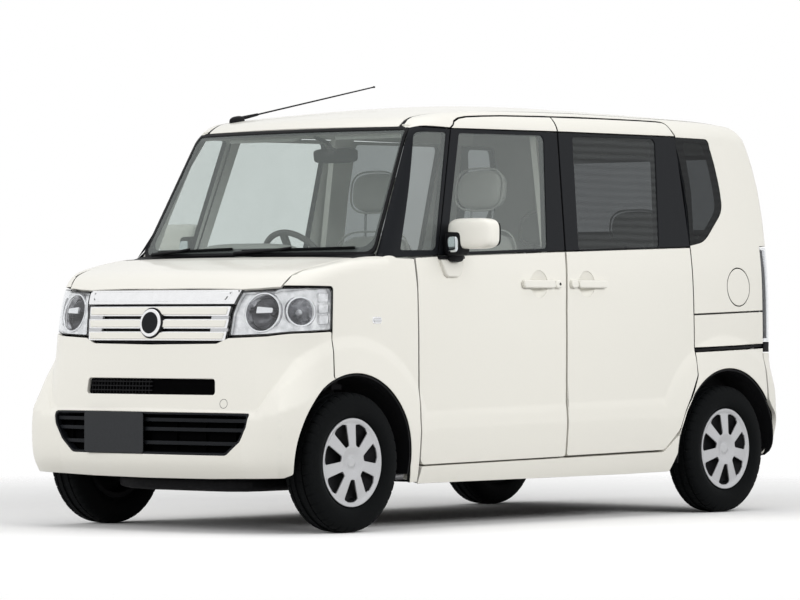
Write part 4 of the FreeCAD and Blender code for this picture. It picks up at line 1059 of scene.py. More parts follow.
# windscreen, its black border and the pillars
screen = mirrored([(0.0, 1.118), (0.648, 1.114, 0.03), (0.583, 1.648, 0.02), (0.0, 1.646)])
screen_hole = [(-0.618, 1.150, 0.045), (0.618, 1.150, 0.045), (0.565, 1.628, 0.035), (-0.565, 1.628, 0.035)]
pane = panel("windscreen_pane", screen, SCREEN, (SCREEN_GLASS, SCREEN_GLASS, INNER_FACE), 0.005, 0.002,
             step=0.05, edge=0.001)[0]
stand_in(pane, "windscreen")
panel("windscreen_border", screen, SCREEN, BLACK_GLOSS, 0.004, 0.0085, (screen_hole,),
      step=0.05)
moulding_hole = [(-0.634, 1.128, 0.03), (0.634, 1.128, 0.03), (0.573, 1.633, 0.014), (-0.573, 1.633, 0.014)]
panel("windscreen_moulding", screen, SCREEN, BLACK, 0.005, 0.0006, (moulding_hole,),
      step=0.03)
pillar = [PILLAR.at(0.654, -1.030, 1.106), PILLAR.at(0.587, -0.742, 1.652)]
pillar += PILLAR.side((-0.70, 1.643), (-0.5255, 1.640), (-0.690, 1.117), (-0.838, 1.1105), (-0.95, 1.106))
QUARTER_LIGHT = [(-0.737, 1.625, 0.018), (-0.552, 1.626, 0.018), (-0.700, 1.137, 0.018),
                 (-0.921, 1.134, 0.015)]
panel("front_pillar", pillar, PILLAR, (BLACK_GLOSS, BLACK, INTERIOR), 0.026, 0.0015,
      (PILLAR.side(*QUARTER_LIGHT),), sides=True, step=0.02)
lights = panel("quarter_light", PILLAR.side(*shrunk(QUARTER_LIGHT, -0.003)), PILLAR,
               (CLEAR, CLEAR, INNER_FACE), 0.004, 0.005, sides=True, edge=0.001)
stand_in(lights[0], "quarter_windows")
panel("rear_quarter_pane", on_quarter(*QUARTER_GLASS), QUARTER, (DARKER, DARKER, INNER_FACE), 0.004, 0.001,
      sides=True, edge=0.001)
inner_glass = on_quarter((1.085, 1.640, 0.02), (1.258, 1.640, 0.03), (1.300, 1.345, 0.09),
                         (1.160, 1.218, 0.12), (1.085, 1.206, 0.02))
panel("rear_quarter_border", on_quarter(*shrunk(QUARTER_GLASS, -0.006)), QUARTER, BLACK_GLOSS, 0.02, 0.006,
      (inner_glass,), sides=True)


# bonnet and cowl
def bonnet_corner(x, y, z):
    """A place on the bonnet in its map."""
    past = y - BONNET_END
    over = BONNET_BEND * math.atan2(z - BONNET_TOP, -past) if past < 0 else BONNET_BEND * math.pi / 2 + past
    return x, BONNET_TOP + over


bonnet_half = [bonnet_corner(*place) for place in ((0.0, -1.62, 0.9805), (0.425, -1.59, 0.9805),
    (0.50, -1.57, 0.985), (0.585, -1.54, 0.990), (0.598, -1.48, 1.036), (0.618, -1.34, 1.075),
    (0.637, -1.21, 1.10), (0.642, -1.160, 1.10), (0.0, -1.178, 1.10))]
bonnet_skin = panel("bonnet_skin", mirrored(bonnet_half), BONNET, (PAINT, PAINT, CHASSIS), 0.012,
                    body="bonnet_body", step=0.018, edge=0.003)[0]
stand_in(bonnet_skin, "bonnet")
cowl = mirrored([(0.0, -1.173), (0.645, -1.155), (0.655, -1.02, 0.01), (0.55, -1.05), (0.0, -1.108)])


def cowl_map(flat):
    """x, y onto the scuttle, a little under the bonnet's rear edge."""
    crown = flat[:, 0] ** 2 * 0.02
    height = np.interp(flat[:, 1] - crown, (-1.18, -1.12, -1.0), (1.100, 1.108, 1.135)) - crown
    return np.stack([flat[:, 0], flat[:, 1], height], 1), np.tile([0.0, 0.0, 1.0], (len(flat), 1))


stand_in(panel("cowl_cover", cowl, cowl_map, BLACK, 0.012, step=0.04)[0], "cowl")


def on_nose(corners):
    """Corners whose u is the run from the middle of the nose, in the nose's map."""
    return [(run - NOSE_CORNER[0], *rest) for run, *rest in corners]


# grille
bar_half = [(0.0, 0.914), (0.404, 0.914, 0.004), (0.4185, 0.972, 0.003), (0.0, 0.972)]
grille_back = panel("grille_back", mirrored([(0.0, 0.760), (0.335, 0.762, 0.01), (0.388, 0.772),
                                             (0.393, 0.918), (0.0, 0.918)]), NOSE_WIDE, BLACK, 0.012, 0.022,
                    step=0.04)[0]
stand_in(grille_back, "grille")
panel("grille_bar_rim", mirrored(bar_half), NOSE_WIDE, CHROME, 0.022, -0.001, edge=0.004)
inner_bar = [(0.0, 0.924), (0.372, 0.924, 0.004), (0.386, 0.963, 0.003), (0.0, 0.963)]
panel("grille_bar", mirrored(inner_bar), NOSE_WIDE, CHROME, 0.012, -0.004, edge=0.005)
for number, (low, high, wide) in enumerate(((0.866, 0.906, 0.391), (0.816, 0.855, 0.389),
                                            (0.768, 0.805, 0.384))):
    slat = mirrored([(0.0, low), (wide - 0.006, low, 0.004), (wide, high, 0.004), (0.0, high)])
    panel(f"grille_slat_{number}", slat, NOSE_WIDE, CHROME, 0.018, 0.001, edge=0.003)
    face = mirrored([(0.0, low + 0.005), (wide - 0.016, low + 0.005, 0.004),
                     (wide - 0.010, high - 0.005, 0.004), (0.0, high - 0.005)])
    panel(f"grille_face_{number}", face, NOSE_WIDE, PAINT, 0.012, -0.003, edge=0.004)
for number, (low, high) in enumerate(((0.8545, 0.8665), (0.8045, 0.8165))):
    cap = on_nose([(0.303, low), (0.386, low), (0.388, high), (0.303, high)])
    panel(f"grille_gap_{number}", cap, NOSE, SILVER, 0.012, 0.004, sides=True, edge=0.001)
panel("bonnet_seal", mirrored([(0.0, 0.966), (0.425, 0.966), (0.425, 0.990), (0.0, 0.990)]), NOSE_WIDE,
      BLACK, 0.012, 0.007, step=0.03)
# the badge's place: a plain round boss
badge_map = board((0.0, -1.664, 0.8395), (1, 0, 0), (0, 0.13, 1))
for name, radius, finish, thick, depth, slot, edge in (
        ("rim", 0.057, CHROME, 0.03, 0, "chrome", 0.004),
        ("seat", 0.063, BLACK, 0.02, 0.008, "black_plastic", 0.002),
        ("face", 0.044, BLACK_GLOSS, 0.01, -0.0015, "black_trim", 0.0015)):
    panel(f"badge_{name}", circle(0, 0, radius), badge_map, finish, thick, depth, edge=edge,
          step=0.02)

# bumper's openings, backed by near-black sheets of painted shade
panel("slot_back", shrunk(SLOT, -0.004), NOSE_WIDE, HOLLOW_SHADE, 0.008, 0.02, step=0.03)
for number in range(3):
    level = 0.566 + 0.0175 * number
    rib = block(-0.346, level, 0.02, level + 0.0045)
    panel(f"slot_rib_{number}", rib, NOSE_WIDE, BLACK, 0.012, 0.008, step=0.03,
          edge=0.001)
for number in range(19):
    at = -0.335 + 0.0185 * number
    bar = block(at, 0.556, at + 0.0035, 0.612)
    panel(f"slot_bar_{number}", bar, NOSE_WIDE, BLACK, 0.01, 0.010, step=0.03,
          edge=0.0008)
panel("mouth_back", shrunk(MOUTH, -0.004), NOSE_WIDE, HOLLOW_SHADE, 0.008, 0.045, step=0.03)
panel("mouth_rim", MOUTH, NOSE_WIDE, BLACK_GLOSS, 0.03, 0.001, (shrunk(MOUTH, 0.009),),
      step=0.03)
for number, level in enumerate((0.359, 0.414, 0.452)):
    reach = float(np.interp(level, (0.312, 0.368, 0.428, 0.482), (0.418, 0.486, 0.518, 0.528)))
    bar = [(-reach, level - 0.008, 0.003), (reach, level - 0.008, 0.003),
           (reach + 0.004, level + 0.008, 0.003), (-reach - 0.004, level + 0.008, 0.003)]
    panel(f"mouth_bar_{number}", bar, NOSE_WIDE, BLACK_GLOSS, 0.028, 0.012, step=0.03,
          edge=0.003)
# posts in the same painted shade as the mouth's back
for number in range(7):
    at = -0.46 + 0.152 * number
    bar = block(at, 0.325, at + 0.004, 0.478)
    panel(f"mouth_post_{number}", bar, NOSE_WIDE, HOLLOW_SHADE, 0.012, 0.030, step=0.04,
          edge=0.0008)
front_plate = board((-0.168, -1.6985, 0.397), (1, 0, 0), (0, 0, 1))
panel("front_plate", plate_outline, front_plate, PLATE, 0.0015, -0.0015, step=0.04)
tow, tow_hole = (circle(0.403, 0.518, radius, 32) for radius in (0.019, 0.0172))
# a thin ring of painted shade for the tow cover's cut line
panel("tow_cover_line", tow, NOSE_WIDE, GAP_SHADE, 0.002, -0.0004, (tow_hole,), edge=0.0003)

# headlamps
lamp = on_nose([(0.3955, 0.786, 0.006), (1.007, 0.807, 0.010), (1.0155, 0.980, 0.020), (0.83, 0.981),
                (0.424, 0.9675, 0.006), (0.402, 0.876)])
lenses = panel("headlamp_lens", shrunk(lamp, 0.002), NOSE, LENS, 0.004, 0.0, sides=True,
               edge=0.0015)
stand_in(lenses[0], "headlamps")
panel("headlamp_frame", shrunk(lamp, 0.0015), NOSE, (BLACK, HOUSING, BLACK), 0.07, 0.0045,
      (shrunk(lamp, 0.0050),), sides=True)
# run, height, radius of the two reflectors
LAMP_MAIN, LAMP_SIDE = (0.528, 0.8845, 0.0785), (0.868, 0.886, 0.058)


def aimed(run, z, sink):
    """A place under the nose's skin and the way out of it, from a run and a height."""
    points, normals = NOSE(np.array([[run - NOSE_CORNER[0], z]]))
    return points[0] - normals[0] * sink, normals[0]


def round_hole(run, z, radius):
    """An opening in the nose's map that is round as seen along the lamp's own axis."""
    middle, way = aimed(run, z, 0)
    runs = run - NOSE_CORNER[0] + np.linspace(-0.3, 0.3, 241)
    across = np.array([-way[1], way[0], 0]) / math.hypot(way[0], way[1])
    reach = (NOSE(np.stack([runs, np.full(len(runs), z)], 1))[0] - middle) @ across
    turn = np.linspace(0, 2 * math.pi, 49)[:-1]
    return list(zip(np.interp(radius * np.cos(turn), np.maximum.accumulate(reach), runs),
                    z + radius * np.sin(turn)))


lamp_rings = [round_hole(*place) for place in (LAMP_MAIN, LAMP_SIDE)]
panel("headlamp_mask", shrunk(lamp, 0.005), NOSE, HOUSING, 0.004, 0.022, lamp_rings, sides=True,
      step=0.02, edge=0.003)


def both_sides(make, name, *rest):
    """Makes a piece on each side: make gets the name, the sign of x and the rest."""
    for side, sign in SIDES:
        make(f"{name}_{side}", sign, *rest)


def flipped(vector, sign):
    """A vector on the car's left, or its mirror image on the right where sign is negative."""
    return np.array(vector, float) * [sign, 1, 1]


def bowl_profile(radius, depth, wall=0.003, count=9):
    """A reflector's section: a parabola and its back."""
    steps = np.linspace(0, 1, count)
    inside = [(-depth * (1 - s * s), radius * s) for s in steps]
    return inside + [(along - wall, r + (wall if r else 0)) for along, r in reversed(inside)]


def lamp_bowl(name, sign, run, z, radius, depth, sink):
    """A reflector, its mouth under the lamp's glass."""
    at, way = aimed(run, z, sink)
    lathe(name, bowl_profile(radius + 0.004, depth), flipped(at, sign), flipped(way, sign), REFLECTOR,
          "body_shell", 40)


def lamp_bulb(name, sign, run, z, radius, first, last, finish, sink):
    """A bulb or its holder on a reflector's axis, from first to last along it."""
    at, way = aimed(run, z, sink)
    lathe(name, [(first, 0), (first, radius), (last - radius * 0.6, radius), (last, radius * 0.55),
                 (last, 0)], flipped(at, sign), flipped(way, sign), finish, "body_shell", 24)


def lamp_shade(name, sign, run, z, radius, depth, sink):
    """The darker dish in the middle of the main bowl, just clear of the bowl's own curve: a painted dark
    reflection in the bowl.
    """
    at, way = aimed(run, z, sink)
    steps = np.linspace(0, 0.76, 8)
    front = [(0.004 - depth * (1 - s * s), (radius + 0.004) * s) for s in steps]
    section = front + [(along - 0.003, r) for along, r in reversed(front)]
    lathe(name, section, flipped(at, sign), flipped(way, sign), DARK_REFLECTION, "body_shell", 40)


def lamp_ring_trim(name, sign, run, z, radius, sink):
    """A bright round moulding at a bowl's mouth."""
    at, way = aimed(run, z, sink)
    section = [(0.004 * math.sin(t), radius - 0.001 + 0.004 * math.cos(t))
               for t in np.linspace(0, 2 * math.pi, 9)[:-1]]
    lathe(name, section, flipped(at, sign), flipped(way, sign), CHROME, "body_shell", 48)


both_sides(lamp_bowl, "headlamp_bowl", *LAMP_MAIN, 0.062, 0.030)
both_sides(lamp_bowl, "headlamp_side_bowl", *LAMP_SIDE, 0.040, 0.026)
both_sides(lamp_ring_trim, "headlamp_trim", *LAMP_MAIN, 0.024)
both_sides(lamp_ring_trim, "headlamp_side_trim", *LAMP_SIDE, 0.020)
both_sides(lamp_bulb, "headlamp_bulb", 0.600, LAMP_MAIN[1], 0.017, -0.050, 0.006, SOCKET, 0.030)
both_sides(lamp_shade, "headlamp_shade", *LAMP_MAIN, 0.062, 0.030)
blade = on_nose([(0.500, 0.880, 0.004), (0.594, 0.883, 0.004), (0.594, 0.901, 0.004), (0.500, 0.909, 0.004)])
panel("headlamp_blade", blade, NOSE, CHROME, 0.010, 0.018, sides=True, edge=0.003, step=0.02)
both_sides(lamp_bulb, "headlamp_side_bulb", LAMP_SIDE[0], LAMP_SIDE[1], 0.012, -0.038, -0.004, LAMP_CLEAR,
           0.026)
for number in range(3):
    low = 0.832 + 0.044 * number
    facet = [(0.946, low, 0.006), (1.000, low + 0.002, 0.006), (1.003, low + 0.038, 0.006),
             (0.946, low + 0.038, 0.006)]
    panel(f"headlamp_facet_{number}", on_nose(facet), NOSE, HOUSING, 0.010, 0.012, sides=True,
          edge=0.004, step=0.02)

# side repeaters
repeater = FENDER.side(*block(-1.112, 0.835, -1.054, 0.864, 0.012))
panel("repeater_rim", repeater, FENDER, CHROME, 0.006, -0.003, sides=True, edge=0.0025)
panel("repeater_lens", shrunk(repeater, 0.005), FENDER, LAMP_CLEAR, 0.006, -0.0055, sides=True,
      edge=0.002)

# ---- wheels and tyres ----------------------------------------------------------------------------

TYRE_SECTION = [  # along the axle from the wheel's middle, radius, kind: 0 smooth, 1 shoulder lug, 2 groove
    (-0.052, 0.167, 0), (-0.054, 0.183, 0), (-0.064, 0.190, 0), (-0.0708, 0.207, 0), (-0.0725, 0.223, 0),
    (-0.0708, 0.240, 0), (-0.0675, 0.256, 0), (-0.0645, 0.2645, 1), (-0.0600, 0.2710, 1),
    (-0.0530, 0.2765, 1), (-0.0455, 0.2785, 1), (-0.0375, 0.2795, 1), (-0.0370, 0.2730, 2),
    (-0.0315, 0.2730, 2), (-0.0310, 0.2800, 0), (-0.0100, 0.2808, 0), (-0.0095, 0.2738, 2),
]
TYRE_SECTION += [(-a, r, kind) for a, r, kind in reversed(TYRE_SECTION)]


def tyre(name, sign, axle, body):
    """A tyre: its section turned about the axle, with grooves round it and sipes across its shoulders."""
    count, section = 320, np.array(TYRE_SECTION)
    turn = np.arange(count) * 2 * math.pi / count
    along, radius, kind = section.T
    sipe = (np.arange(count) % 8 == 0)[:, None]
    lug = (kind == 1)[None, :]
    shift = np.where((np.arange(count) % 8 == 4)[:, None] & (np.abs(along) < 0.036)[None,
        :] & (kind == 0)[None, :], 0.002, 0)
    far = radius[None, :] - np.where(sipe & lug, 0.0045, 0) - shift
    y, z = np.cos(turn)[:, None] * far, np.sin(turn)[:, None] * far
    x = np.broadcast_to(along * sign, far.shape)
    verts = np.stack([x + WHEEL_X * sign, y + axle, z + AXLE_Z], -1).reshape(-1, 3)
    width = len(section)
    i, j = np.meshgrid(np.arange(count), np.arange(width), indexing="ij")
    a, b = i * width + j, ((i + 1) % count) * width + j
    c, d = ((i + 1) % count) * width + (j + 1) % width, i * width + (j + 1) % width
    faces = np.stack([a, d, c, b] if sign > 0 else [a, b, c, d], -1).reshape(-1, 4)
    return emit(name, verts, faces.tolist(), RUBBER, body)


RIM_SECTION = [(-0.0595, 0.173), (-0.0595, 0.153), (0.002, 0.145), (0.010, 0.096), (0.018, 0.070),
               (0.018, 0.0), (0.026, 0.0), (0.026, 0.060), (0.022, 0.096), (0.030, 0.148), (0.040, 0.160),
               (0.0450, 0.166), (0.0450, 0.173), (0.0420, 0.173), (0.0420, 0.1655), (-0.0535, 0.1655),
               (-0.0535, 0.173)]
COVER_SHAPE = curve([(0.0, 0.0560), (0.020, 0.0555), (0.024, 0.0500), (0.032, 0.0500), (0.060, 0.0600),
                     (0.066, 0.0615), (0.074, 0.0612), (0.155, 0.0525), (0.159, 0.0520), (0.163, 0.0550),
                     (0.167, 0.0580), (0.1755, 0.0600), (0.1785, 0.0595), (0.184, 0.0580)], 0.0018)
SPOKES = 7


def cover_map(axle):
    """The wheel cover's face: its height along the axle depends on the distance from it."""
    def place(flat):
        radius = np.linalg.norm(flat, axis=1)
        height, slope = COVER_SHAPE(radius), (COVER_SHAPE(radius + 0.001)
                                              - COVER_SHAPE(radius - 0.001)) / 0.002
        points = np.stack([WHEEL_X + height, axle + flat[:, 0], AXLE_Z + flat[:, 1]], 1)
        out = flat / np.maximum(radius, 1e-6)[:, None] * -slope[:, None]
        normals = np.concatenate([np.ones((len(flat), 1)), out], 1)
        return points, normals / np.linalg.norm(normals, axis=1, keepdims=True)
    return place


def spoke_window(number):
    """One of the openings between the cover's spokes, which get wider outwards."""
    middle = math.pi / 2 + (number + 0.5) * 2 * math.pi / SPOKES
    corners = []
    for radius, half_spoke, way in ((0.070, 0.0205, -1), (0.154, 0.0275, -1), (0.154, 0.0275, 1),
                                    (0.070, 0.0205, 1)):
        turn = middle + way * (math.pi / SPOKES - math.asin(half_spoke / radius))
        corners.append((radius * math.cos(turn), radius * math.sin(turn), 0.008))
    crown = [(0.1585 * math.cos(middle + lean), 0.1585 * math.sin(middle + lean))
             for lean in (-0.12, 0, 0.12)]
    return corners[:2] + crown + corners[2:]


windows = [spoke_window(number) for number in range(SPOKES)]
COVER_SIZE = 0.1785
for end, axle in (("front", FRONT_AXLE), ("rear", REAR_AXLE)):
    panel(f"wheel_cover_{end}", circle(0, 0, COVER_SIZE, 96), cover_map(axle), (SILVER, SILVER, CHASSIS),
          0.006, 0, windows, step=0.009, sides=True, body=f"wheel_{end}_SIDE_body",
          edge=0.003, fine=0.006)
    for name, sign in SIDES:
        body = f"wheel_{end}_{name}_body"
        stand_in(tyre(f"tyre_tread_{end}_{name}", sign, axle, body), f"tyre_{end}_{name}")
        centre = (WHEEL_X * sign, axle, AXLE_Z)
        rim = lathe(f"wheel_steel_{end}_{name}", RIM_SECTION, centre, (sign, 0, 0), CHASSIS, body,
                    72)
        stand_in(rim, f"wheel_{end}_{name}")
        for k in range(4):
            turn = math.pi / 4 + k * math.pi / 2
            at = (WHEEL_X * sign + 0.026 * sign, axle + 0.050 * math.cos(turn),
                  AXLE_Z + 0.050 * math.sin(turn))
            lathe(f"wheel_nut_{end}_{name}_{k}", [(-0.004, 0), (-0.004, 0.0095), (0.008, 0.0095),
                (0.010, 0.006), (0.010, 0)], at, (sign, 0, 0), STEEL, body, 6)
        valve = (WHEEL_X * sign + 0.050 * sign, axle + 0.012, AXLE_Z - 0.146)
        lathe(f"wheel_valve_{end}_{name}", [(-0.012, 0), (-0.012, 0.004), (0.010, 0.004), (0.012, 0)],
              valve, (sign, 0, 0), RUBBER, body, 10)

# ---- mirrors, wipers and antenna -----------------------------------------------------------------


def mirror_piece(name, sign):
    """A door mirror: its head, glass, foot and the little look-down mirror under it."""
    side = name.rsplit("_", 1)[1]
    body = f"front_door_{side}_body"
    head = pillow(name, (0.232, 0.092, 0.126), (0.820 * sign, -0.608, 1.2040), PAINT, body, 4.2, 0,
                  (56, 36))
    stand_in(head, f"door_mirror_{side}")
    pillow(f"mirror_back_{side}", (0.206, 0.018, 0.106), (0.820 * sign, -0.563, 1.203), BLACK, body,
           6.0, 0, (36, 20))
    pillow(f"mirror_corner_{side}", (0.086, 0.078, 0.098), (0.745 * sign, -0.624, 1.163), BLACK, body,
           6.0)
    pillow(f"mirror_lookdown_{side}", (0.054, 0.020, 0.066), (0.753 * sign, -0.659, 1.160), MIRROR_GLASS,
           body, 4.0)
    pillow(f"mirror_neck_{side}", (0.060, 0.070, 0.060), (0.722 * sign, -0.612, 1.118), BLACK, body,
           4.0)
    only = ((side, sign),)
    foot = [(-0.655, 1.026, 0.03), (-0.565, 1.026, 0.03), (-0.540, 1.098, 0.008), (-0.690, 1.098, 0.008)]
    panel("mirror_foot", SIDE.side(*foot), SIDE, PAINT, 0.02, -0.017, sides=only, body=body, step=0.01,
          edge=0.008)
    strip = block(-0.692, 1.1005, -0.538, 1.112, 0.003)
    panel("mirror_strip", SIDE.side(*strip), SIDE, BLACK, 0.02, -0.018, sides=only, body=body,
          step=0.01, edge=0.002)
    glass = board((0.820 * sign, -0.5535, 1.203), (-1, 0, 0), (0, 0, 1))
    panel(f"mirror_glass_{side}", oblong(0.086, 0.045, 0.02), glass, MIRROR_GLASS, 0.004, 0, body=body,
          edge=0.001, step=0.03)


both_sides(mirror_piece, "mirror_head")


def on_screen(x, z, off):
    """A place a little off the windscreen."""
    points, normals = SCREEN(np.array([[x, z]]))
    return points[0] + normals[0] * off


for number, (pivot, tip) in enumerate(((-0.03, 0.555), (-0.555, -0.06))):
    arm = [on_screen(pivot, 1.118, 0.014), on_screen(pivot * 0.6 + tip * 0.4, 1.128, 0.020),
           on_screen((pivot + tip) / 2, 1.138, 0.016)]
    tube(f"wiper_arm_{number}", arm, (0.008, 0.006, 0.005), BLACK, "body_shell")
    blade = [on_screen(pivot + (tip - pivot) * f, 1.1295 + 0.010 * f, 0.008)
             for f in np.linspace(0.06, 1, 14)]
    thing = tube(f"wiper_blade_{number}", blade, 0.006, RUBBER, "body_shell", 8)
    if number == 0:
        stand_in(thing, "wipers")

pillow("antenna_base", (0.038, 0.084, 0.046), (-0.495, -0.606, 1.702), BLACK, "body_shell",
       2.6, -9)
foot, lean = Vector((-0.494, -0.598, 1.713)), Vector((0.05, 0.98, 0.199)).normalized()
tube("antenna_boot", [foot, foot + lean * 0.06, foot + lean * 0.118], (0.0088, 0.0076, 0.0058), BLACK,
     "body_shell")
mast = tube("antenna_mast", [foot + lean * 0.10, foot + lean * 0.48, foot + lean * 0.856],
            (0.0036, 0.0033, 0.003), BLACK, "body_shell")
stand_in(mast, "antenna")
pillow("antenna_tip", (0.009, 0.014, 0.009), foot + lean * 0.858, BLACK, "body_shell", 2.4,
       0, (12, 8))

pillow("undertray", (0.78, 0.62, 0.068), (0.0, -1.22, 0.190), CHASSIS, "body_shell", 5.0)

# ---- cabin ---------------------------------------------------------------------------------------

for number, (x, wide) in enumerate(((-0.47, 0.11), (-0.06, 0.12), (0.08, 0.12), (0.47, 0.11))):
    vent = board((x, -0.604, 1.032), (-1, 0, 0), (0, 0.12, 1))
    outline = oblong(wide / 2, 0.034, 0.01)
    panel(f"vent_rim_{number}", outline, vent, SILVER, 0.02, -0.012, (shrunk(outline, 0.006),),
          step=0.03, edge=0.0015)
    for k in range(4):
        level = -0.021 + 0.014 * k
        slat = [(wide / 2 - 0.007, level - 0.003), (wide / 2 - 0.007, level + 0.003),
                (-wide / 2 + 0.007, level + 0.003), (-wide / 2 + 0.007, level - 0.003)]
        panel(f"vent_slat_{number}_{k}", slat, vent, DASH, 0.012, -0.009, step=0.03,
              edge=0.001)
console = board((0.0, -0.598, 0.90), (-1, 0, 0), (0, 0.28, 1))
panel("radio", oblong(0.10, 0.045, 0.008), console, BLACK_GLOSS, 0.03, -0.02,
      step=0.03)
glovebox = board((0.33, -0.600, 0.88), (-1, 0, 0), (0, 0.30, 1))
panel("glovebox_lid", oblong(0.17, 0.075, 0.02), glovebox, DASH_LIGHT, 0.03, -0.018,
      step=0.03, edge=0.004)
pillow("instrument_hood", (0.52, 0.20, 0.105), (-0.30, -0.74, 1.122), DASH_LIGHT, "body_shell",
       3.2, 0)
pillow("dash_top", (1.12, 0.34, 0.050), (0.0, -0.82, 1.098), DASH_LIGHT, "body_shell", 6.0,
       0, (48, 12))
pillow("interior_mirror", (0.24, 0.022, 0.062), (0.0, -0.530, 1.545), BLACK, "body_shell",
       5.0, -8)
mirror_face = board((0.0, -0.5165, 1.545), (-1, 0, 0), (0, 0.14, 1))
panel("interior_mirror_glass", oblong(0.112, 0.024, 0.012), mirror_face,
      MIRROR_GLASS, 0.003, -0.001, step=0.03, edge=0.0008)
tube("interior_mirror_stem", [(0, -0.535, 1.56), (0, -0.585, 1.60), (0, -0.66, 1.618)], 0.008, BLACK,
     "body_shell")
for name, sign in SIDES:
    visor = board((0.30 * sign, -0.600, 1.640), (1, 0, 0), (0, 0.95, 0.32))
    panel(f"sun_visor_{name}", oblong(0.20, 0.07, 0.03), visor, HEADLINER, 0.014, 0,
          step=0.04, edge=0.005)

# ---- seats ---------------------------------------------------------------------------------------

SEAT_PADS = {  # size, middle (y, z), lean back in degrees, squareness
    "cushion": ((0.478, 0.500, 0.150), (-0.255, 0.655), -3.0, 5.0),
    "back": ((0.455, 0.125, 0.640), (0.025, 0.925), 12.5, 4.6),
    "head": ((0.262, 0.098, 0.185), (0.082, 1.408), 6.0, 3.2),
}
REAR_PADS = {
    "cushion": ((0.495, 0.540, 0.120), (0.862, 0.592), -3.0, 5.0),
    "back": ((0.470, 0.110, 0.560), (1.170, 0.845), 10.0, 4.6),
    "head": ((0.278, 0.085, 0.160), (1.222, 1.267), 4.0, 3.2),
}


def stuffed(thing, voxel, cap):
    """Swells a pad under pressure as cloth, no point further than cap, and rounds it off."""
    remesh = thing.modifiers.new("remesh", "REMESH")
    remesh.mode, remesh.voxel_size = "VOXEL", voxel
    bpy.context.view_layer.objects.active = thing
    bpy.ops.object.modifier_apply(modifier=remesh.name)
    before = np.array([v.co for v in thing.data.vertices])
    cloth = thing.modifiers.new("cloth", "CLOTH")
    cloth.settings.use_pressure, cloth.settings.uniform_pressure_force = True, 4.0
    cloth.settings.effector_weights.gravity = 0
    for number in range(1, 21):
        bpy.context.scene.frame_set(number)
    shaped = thing.evaluated_get(bpy.context.evaluated_depsgraph_get()).to_mesh()
    after = np.array([v.co for v in shaped.vertices])
    move = after - before
    far = np.linalg.norm(move, axis=1, keepdims=True)
    after = before + move * np.minimum(1, cap / np.maximum(far, 1e-9))
    thing.modifiers.remove(cloth)
    bpy.context.scene.frame_set(1)
    thing.data.vertices.foreach_set("co", after.astype(np.float32).ravel())
    thing.data.polygons.foreach_set("use_smooth", np.ones(len(thing.data.polygons), bool))
    thing.data.update()
    smooth = thing.modifiers.new("smooth", "SUBSURF")
    smooth.levels = smooth.render_levels = 1
    bpy.ops.object.modifier_apply(modifier=smooth.name)


def seat_row(label, pads, offset, node):
    """A row of two seats with piping, posts and bases; each pad is made once and copied to the other side."""
    stood = False
    for part, (size, (y, z), lean, power) in pads.items():
        inner = [s - 0.016 for s in size]
        pad = pillow(f"{label}_{part}_left", inner, (offset, y, z), FABRIC, None, power,
                     lean, (44, 30))
        stuffed(pad, 0.012 if part != "head" else 0.009, 0.014)
        twin = bpy.data.objects.new(f"{label}_{part}_right", pad.data.copy())
        bpy.context.collection.objects.link(twin)
        low = np.zeros(len(twin.data.vertices) * 3, np.float32)
        twin.data.vertices.foreach_get("co", low)
        low.reshape(-1, 3)[:, 0] -= 2 * offset
        twin.data.vertices.foreach_set("co", low)
        for thing in (pad, twin):
            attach(thing, "body_shell")
        if not stood:
            stand_in(pad, node)
            stood = True
        turn = math.radians(lean)
        for side, sign in SIDES:
            ring = []
            for t in np.linspace(0, 2 * math.pi, 61)[:-1]:
                u, v = math.cos(t), math.sin(t)
                reach = 0.985 / (abs(u) ** power + abs(v) ** power) ** (1 / power)
                if part == "cushion":
                    ring.append((u * reach * size[0] / 2, v * reach * size[1] / 2, size[2] * 0.22))
                else:
                    ring.append((u * reach * size[0] / 2, -size[1] * 0.20, v * reach * size[2] / 2))
            points = [(offset * sign + x, y + a * math.cos(turn) + b * math.sin(turn),
                       z + b * math.cos(turn) - a * math.sin(turn)) for x, a, b in ring]
            tube(f"{label}_{part}_piping_{side}", points, 0.0042, FABRIC, "body_shell", 8,
                 True)
    back, head = pads["back"], pads["head"]
    for side, sign in SIDES:
        for post in (-0.06, 0.06):
            top = (offset * sign + post, head[1][0], head[1][1] - 0.02)
            foot = (offset * sign + post, back[1][0] + 0.05, back[1][1] + back[0][2] / 2 - 0.06)
            tube(f"{label}_post_{side}_{'in' if post < 0 else 'out'}", [foot, top], 0.006, STEEL,
                 "body_shell")
        y, z = pads["cushion"][1]
        tall = z - pads["cushion"][0][2] / 2 - 0.285
        pillow(f"{label}_base_{side}", (0.36, 0.38, tall + 0.03), (offset * sign, y, 0.285 + tall / 2),
               CHASSIS, "body_shell", 8.0)


seat_row("front_seat", SEAT_PADS, 0.300, "front_seats")
seat_row("rear_seat", REAR_PADS, 0.262, "rear_seats")

# ---- the CAD pieces that show as they are --------------------------------------------------------

FINISHES = {
    "floor_pan": CARPET, "firewall": CHASSIS, "engine_block": CAST, "dashboard": DASH, "steering_wheel": DASH,
    "front_struts": CHASSIS, "knuckle_left": CHASSIS, "knuckle_right": CHASSIS, "door_aperture_left": PAINT,
    "door_aperture_right": PAINT,
}
for entry in frame["record"]["subparts"]:
    if entry["node"] in NODES and entry["node"] not in REPLACED:
        thing = NODES[entry["node"]]
        thing.data.materials.clear()
        thing.data.materials.append(FINISHES.get(entry["node"], SLOTS[entry["material_slot"]]))

# ---- camera, light and floor ---------------------------------------------------------------------

